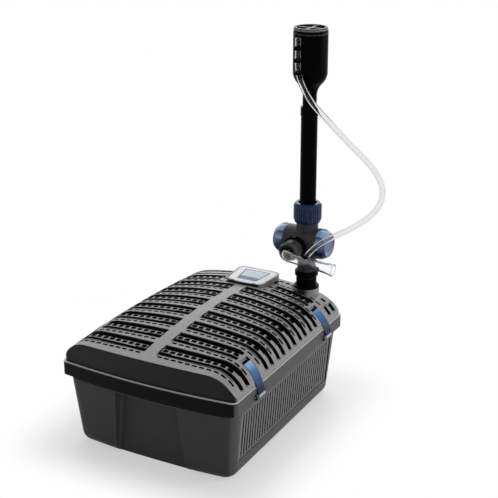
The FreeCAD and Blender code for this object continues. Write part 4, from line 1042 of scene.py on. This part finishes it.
@dataclass
class Label:
    """The plate's plain print: a pale panel in a thin frame with a straight band, no words."""

    front: float = 122.0
    rear: float = 164.0
    front_half: float = 18.0
    rear_half: float = 23.0
    band: float = 13.0
    line: float = 2.2
    corner: float = 2.5
    least_corner: float = 0.4
    corner_steps: int = 3
    lift: float = 0.00015

    def build(self) -> list[Object]:
        """Makes the panel, and the frame with its band.

        Returns:
            Both pieces.
        """
        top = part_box("label_plate")[1].z + self.lift
        rim, inner = ([Vector((x * MM, y * MM, top)) for x, y in self._outline(*insets)]
                      for insets in ((0.0, 0.0), (self.line, self.band)))
        count = len(rim)
        ring = [(k, (k + 1) % count, count + (k + 1) % count, count + k) for k in range(count)]
        border = mesh_piece("label_band", rim + inner, ring, "label_band")
        panel = mesh_piece("label_panel", inner, [range(count)], "label_panel")
        return [panel, border]

    def _outline(self, inset: float, front_inset: float) -> list[Span]:
        """Gives the print's outline, drawn in by a distance and more at the front.

        Args:
            inset: How far it is drawn in.
            front_inset: How far its front edge is drawn in.

        Returns:
            Points across and along, with rounded corners.
        """
        near, far = self.front + front_inset, self.rear - inset
        slope = (self.rear_half - self.front_half) / (self.rear - self.front)
        near_half, far_half = (self.front_half + slope * (along - self.front) - inset
                               for along in (near, far))
        cut = max(self.least_corner, self.corner - inset)
        points = []
        for x, y, begin in ((-near_half, near, 180), (near_half, near, 270),
                            (far_half, far, 0), (-far_half, far, 90)):
            middle = (x - math.copysign(cut, x), y + cut if y == near else y - cut)
            for step in range(self.corner_steps + 1):
                turn = math.radians(begin + 90 * step / self.corner_steps)
                points.append((middle[0] + cut * math.cos(turn),
                               middle[1] + cut * math.sin(turn)))
        return points


@dataclass
class FoamPads:
    """The two filter foams: open-cell slabs with rounded edges and an uneven cut face."""

    pads: tuple[tuple[str, str], ...] = (("foam_coarse", "foam_blue"), ("foam_fine", "foam_dark"))
    inset: float = 0.0008
    rounding: float = 0.004
    cell: float = 0.006
    dent: float = 0.0006
    dent_scale: float = 90.0

    def build(self) -> list[Object]:
        """Makes both pads.

        Returns:
            The pads.
        """
        return [self._pad(node, finish) for node, finish in self.pads]

    def _pad(self, node: str, finish: str) -> Object:
        """Makes one pad in the space of its solid.

        Args:
            node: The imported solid.
            finish: Its finish and slot.

        Returns:
            The pad.
        """
        low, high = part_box(node)
        low, high = low + Vector([self.inset] * 3), high - Vector([self.inset] * 3)
        middle, half = (low + high) / 2, (high - low) / 2
        shape = bmesh.new()
        bmesh.ops.create_cube(shape, size=2.0)
        for vertex in shape.verts:
            vertex.co = Vector(vertex.co[k] * half[k] for k in range(3))
        for axis in range(3):
            count = int(2 * half[axis] / self.cell)
            way = Vector([1.0 if k == axis else 0.0 for k in range(3)])
            for cut in range(1, count):
                reach = -half[axis] + 2 * half[axis] * cut / count
                bmesh.ops.bisect_plane(shape, geom=shape.verts[:] + shape.edges[:] + shape.faces[:],
                                       plane_co=way * reach, plane_no=way)
        shape.verts.index_update()
        vertices = [middle + self._rounded(vertex.co, half) for vertex in shape.verts]
        faces = [[vertex.index for vertex in face.verts] for face in shape.faces]
        shape.free()
        pad = mesh_piece(f"{node}_pad", vertices, faces, finish, smooth=True)
        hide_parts(node)
        return pad

    def _rounded(self, point: Vector, half: Vector) -> Vector:
        """Rounds the box's edges and presses its faces in by an uneven amount.

        Args:
            point: A point of the plain box, from its middle.
            half: The box's half sizes.

        Returns:
            The moved point.
        """
        core = Vector(max(-half[k] + self.rounding, min(half[k] - self.rounding, point[k]))
                      for k in range(3))
        away = point - core
        if away.length > self.rounding:
            away = away.normalized() * self.rounding
        dent = self.dent * (1 + mathutils.noise.noise(point * self.dent_scale)) * 0.5
        return core + away * (1 - dent / max(away.length, MM))


@dataclass
class PortTrim:
    """Grip ridges round the grey insert of the distributor's port."""

    ridges: int = 30
    width: float = 0.0011
    height: float = 0.0006
    sunk: float = 0.0003
    crest: float = 0.4
    reach: Span = (0.0008, 0.0052)

    def build(self) -> Object:
        """Makes the ridges as one mesh.

        Returns:
            The ridges.
        """
        low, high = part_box("port_insert")
        centre_x, centre_z = (low.x + high.x) / 2, (low.z + high.z) / 2
        radius = (high.x - low.x) / 2
        vertices: list[Vector] = []
        faces: list[tuple[int, ...]] = []
        for ridge in range(self.ridges):
            turn = 2 * math.pi * ridge / self.ridges
            out = Vector((math.cos(turn), 0, math.sin(turn)))
            side = Vector((-math.sin(turn), 0, math.cos(turn))) * self.width / 2
            top = side * self.crest
            base = len(vertices)
            for reach in self.reach:
                foot = Vector((centre_x, low.y + reach, centre_z)) + out * (radius - self.sunk)
                vertices += [foot - side, foot - top + out * self.height,
                             foot + top + out * self.height, foot + side]
            faces += [tuple(range(base, base + 4)), tuple(range(base + 4, base + 8))]
            faces += [(base + k, base + (k + 1) % 4, base + 4 + (k + 1) % 4, base + 4 + k)
                      for k in range(4)]
        return mesh_piece("port_grip_ridges", vertices, faces, "insert_grey",
                          Body.DISTRIBUTOR)


@dataclass
class Construction:
    """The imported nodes, which keep their shape and get their finishes."""

    own_finish: dict[str, str] = field(default_factory=lambda: {
        "nozzle_cap": "cap_black", "distributor_body": "body_black",
        "regulator_knob_left": "knob_painted_facets", "regulator_knob_right": "knob_painted_facets"})

    def dress(self) -> list[str]:
        """Gives each node its own finish, or else the one of its record slot.

        Returns:
            The nodes' names.
        """
        dressed = []
        for part in frame["record"]["subparts"]:
            materials = frame["nodes"][part["node"]].data.materials
            materials.clear()
            finish = self.own_finish.get(part["node"], part["material_slot"])
            materials.append(FINISHES[finish].material())
            dressed.append(part["node"])
        return dressed


@dataclass(frozen=True)
class Lamp:
    """A square soft lamp, which neither the camera nor the clear tubes show."""

    name: str
    place: Point
    aim: Point
    reach: float
    watts: float

    def build(self) -> None:
        """Adds the lamp to the scene."""
        data = bpy.data.lights.new(self.name, "AREA")
        data.size, data.energy = self.reach, self.watts
        lamp = placed(self.name, data)
        lamp.location = self.place
        way = Vector(self.aim) - Vector(self.place)
        lamp.rotation_euler = way.to_track_quat("-Z", "Y").to_euler()
        lamp.visible_camera = lamp.visible_transmission = False


@dataclass
class Studio:
    """White surroundings, a pale floor and soft lamps."""

    floor_reach: float = 8.0
    floor_drop: float = 0.0002
    floor_tone: float = 0.95
    floor_roughness: float = 0.9
    footprint: Span = (0.13, 0.165)
    fade: Span = (0.02, 0.12)
    fade_least: float = 0.50
    world_light: float = 0.32
    lamps: tuple[Lamp, ...] = (
        Lamp("back", (-0.9, 1.75, 1.25), (0.0, 0.0, 0.15), 2.2, 26.0),
        Lamp("top", (0.0, 0.2, 2.1), (0.0, 0.0, 0.2), 1.2, 8.5),
        Lamp("right", (1.6, 0.9, 0.7), (0.0, 0.0, 0.15), 0.9, 11.0),
    )

    def build(self) -> None:
        """Makes the floor, the world and the lamps, and sets the view."""
        self._floor()
        self._world()
        for lamp in self.lamps:
            lamp.build()
        bpy.context.scene.view_settings.view_transform = "Standard"

    def _floor(self) -> None:
        """Makes the floor: shaded near the object and plain white further out."""
        reach = self.floor_reach
        mesh = bpy.data.meshes.new("floor")
        mesh.from_pydata([(-reach, -reach, 0), (reach, -reach, 0), (reach, reach, 0),
                          (-reach, reach, 0)], [], [(0, 1, 2, 3)])
        floor = placed("floor", mesh)
        floor.location.z = -self.floor_drop
        made = bpy.data.materials.new("floor_white")
        made.use_nodes = True
        graph = Graph(made.node_tree)
        shader = graph.tree.nodes["Principled BSDF"]
        shader.inputs["Base Color"].default_value = (*[self.floor_tone] * 3, 1)
        shader.inputs["Roughness"].default_value = self.floor_roughness
        away = graph.place
        for operation, *value in (("ABSOLUTE",), ("SUBTRACT", (*self.footprint, 0.0)),
                                  ("MAXIMUM", NO_VECTOR)):
            away = graph.vectors(operation, away, *value).outputs["Vector"]
        away = graph.vectors("LENGTH", away).outputs["Value"]
        fade = graph.mapped(away, self.fade, (self.fade_least, 1.0))
        fade.node.interpolation_type = "SMOOTHSTEP"
        mix = graph.add("MixShader", graph.product(fade, graph.seen_rays()),
                        shader.outputs["BSDF"], graph.add("Emission").outputs["Emission"])
        graph.feed(graph.tree.nodes["Material Output"].inputs["Surface"], mix.outputs["Shader"])
        mesh.materials.append(made)

    def _world(self) -> None:
        """Makes the world white where it is seen and gentle where it lights."""
        world = bpy.data.worlds.new("studio")
        bpy.context.scene.world = world
        world.use_nodes = True
        graph = Graph(world.node_tree)
        back = graph.tree.nodes["Background"]
        back.inputs["Color"].default_value = (1, 1, 1, 1)
        level = graph.mapped(graph.seen_rays(), UNIT, (self.world_light, 1.0))
        graph.feed(back.inputs["Strength"], level)


HOSE_SPLIT: Point = (172.5, 105.0, 296.5)
LOWER_ROUTE: tuple[Point, ...] = (
    (119, 95.5, 253), (126, 97.6, 263), (140, 101, 275.5), (160, 104, 289), HOSE_SPLIT,
)
UPPER_ROUTE: tuple[Point, ...] = (
    HOSE_SPLIT, (185, 106, 304), (212, 108, 325), (228.5, 109.5, 347), (232, 111, 370),
    (221, 112.5, 391), (202, 114, 409), (180, 116, 425), (157, 117.5, 443), (135, 119.5, 461),
    (115, 121.5, 477), (102, 123.5, 490), (92, 125.5, 503.5), (84.5, 127.5, 519),
    (82, 128.3, 537), (82.2, 128.5, 556), (82, 128.4, 575),
)


def main() -> None:
    """Builds every class in order and reports its pieces."""
    logging.basicConfig(level=logging.INFO, format="%(name)s: %(message)s")
    Camera().build()
    meeting = tuple(value * MM for value in HOSE_SPLIT)
    lower = HosePart("air_hose_lower_tube", "air_hose_lower", LOWER_ROUTE,
                     (Body.DISTRIBUTOR, Body.RISER), start=(0.125, 0.097, 0.258), end=meeting,
                     far_end="object", length=0.0704, fitted_row=0)
    upper = HosePart("air_hose_upper_tube", "air_hose_upper", UPPER_ROUTE,
                     (Body.RISER, Body.NOZZLE), start=(0.1, 0.12, 0.300), end=(0.1, 0.12, 0.510),
                     far_end="bare", length=0.3675, fitted_row=-1)
    made = [lower.build(), upper.build()]
    for name in Construction().dress():
        log.info("dressed %s", name)
    made += [Perforations().build(), SlitShadeSheet().build(), *Label().build(),
             *FoamPads().build(), ClipWindowShade().build(), PortTrim().build()]
    for piece in made:
        log.info("made %s", piece.name)
    Studio().build()


if __name__ == "__main__":
    main()
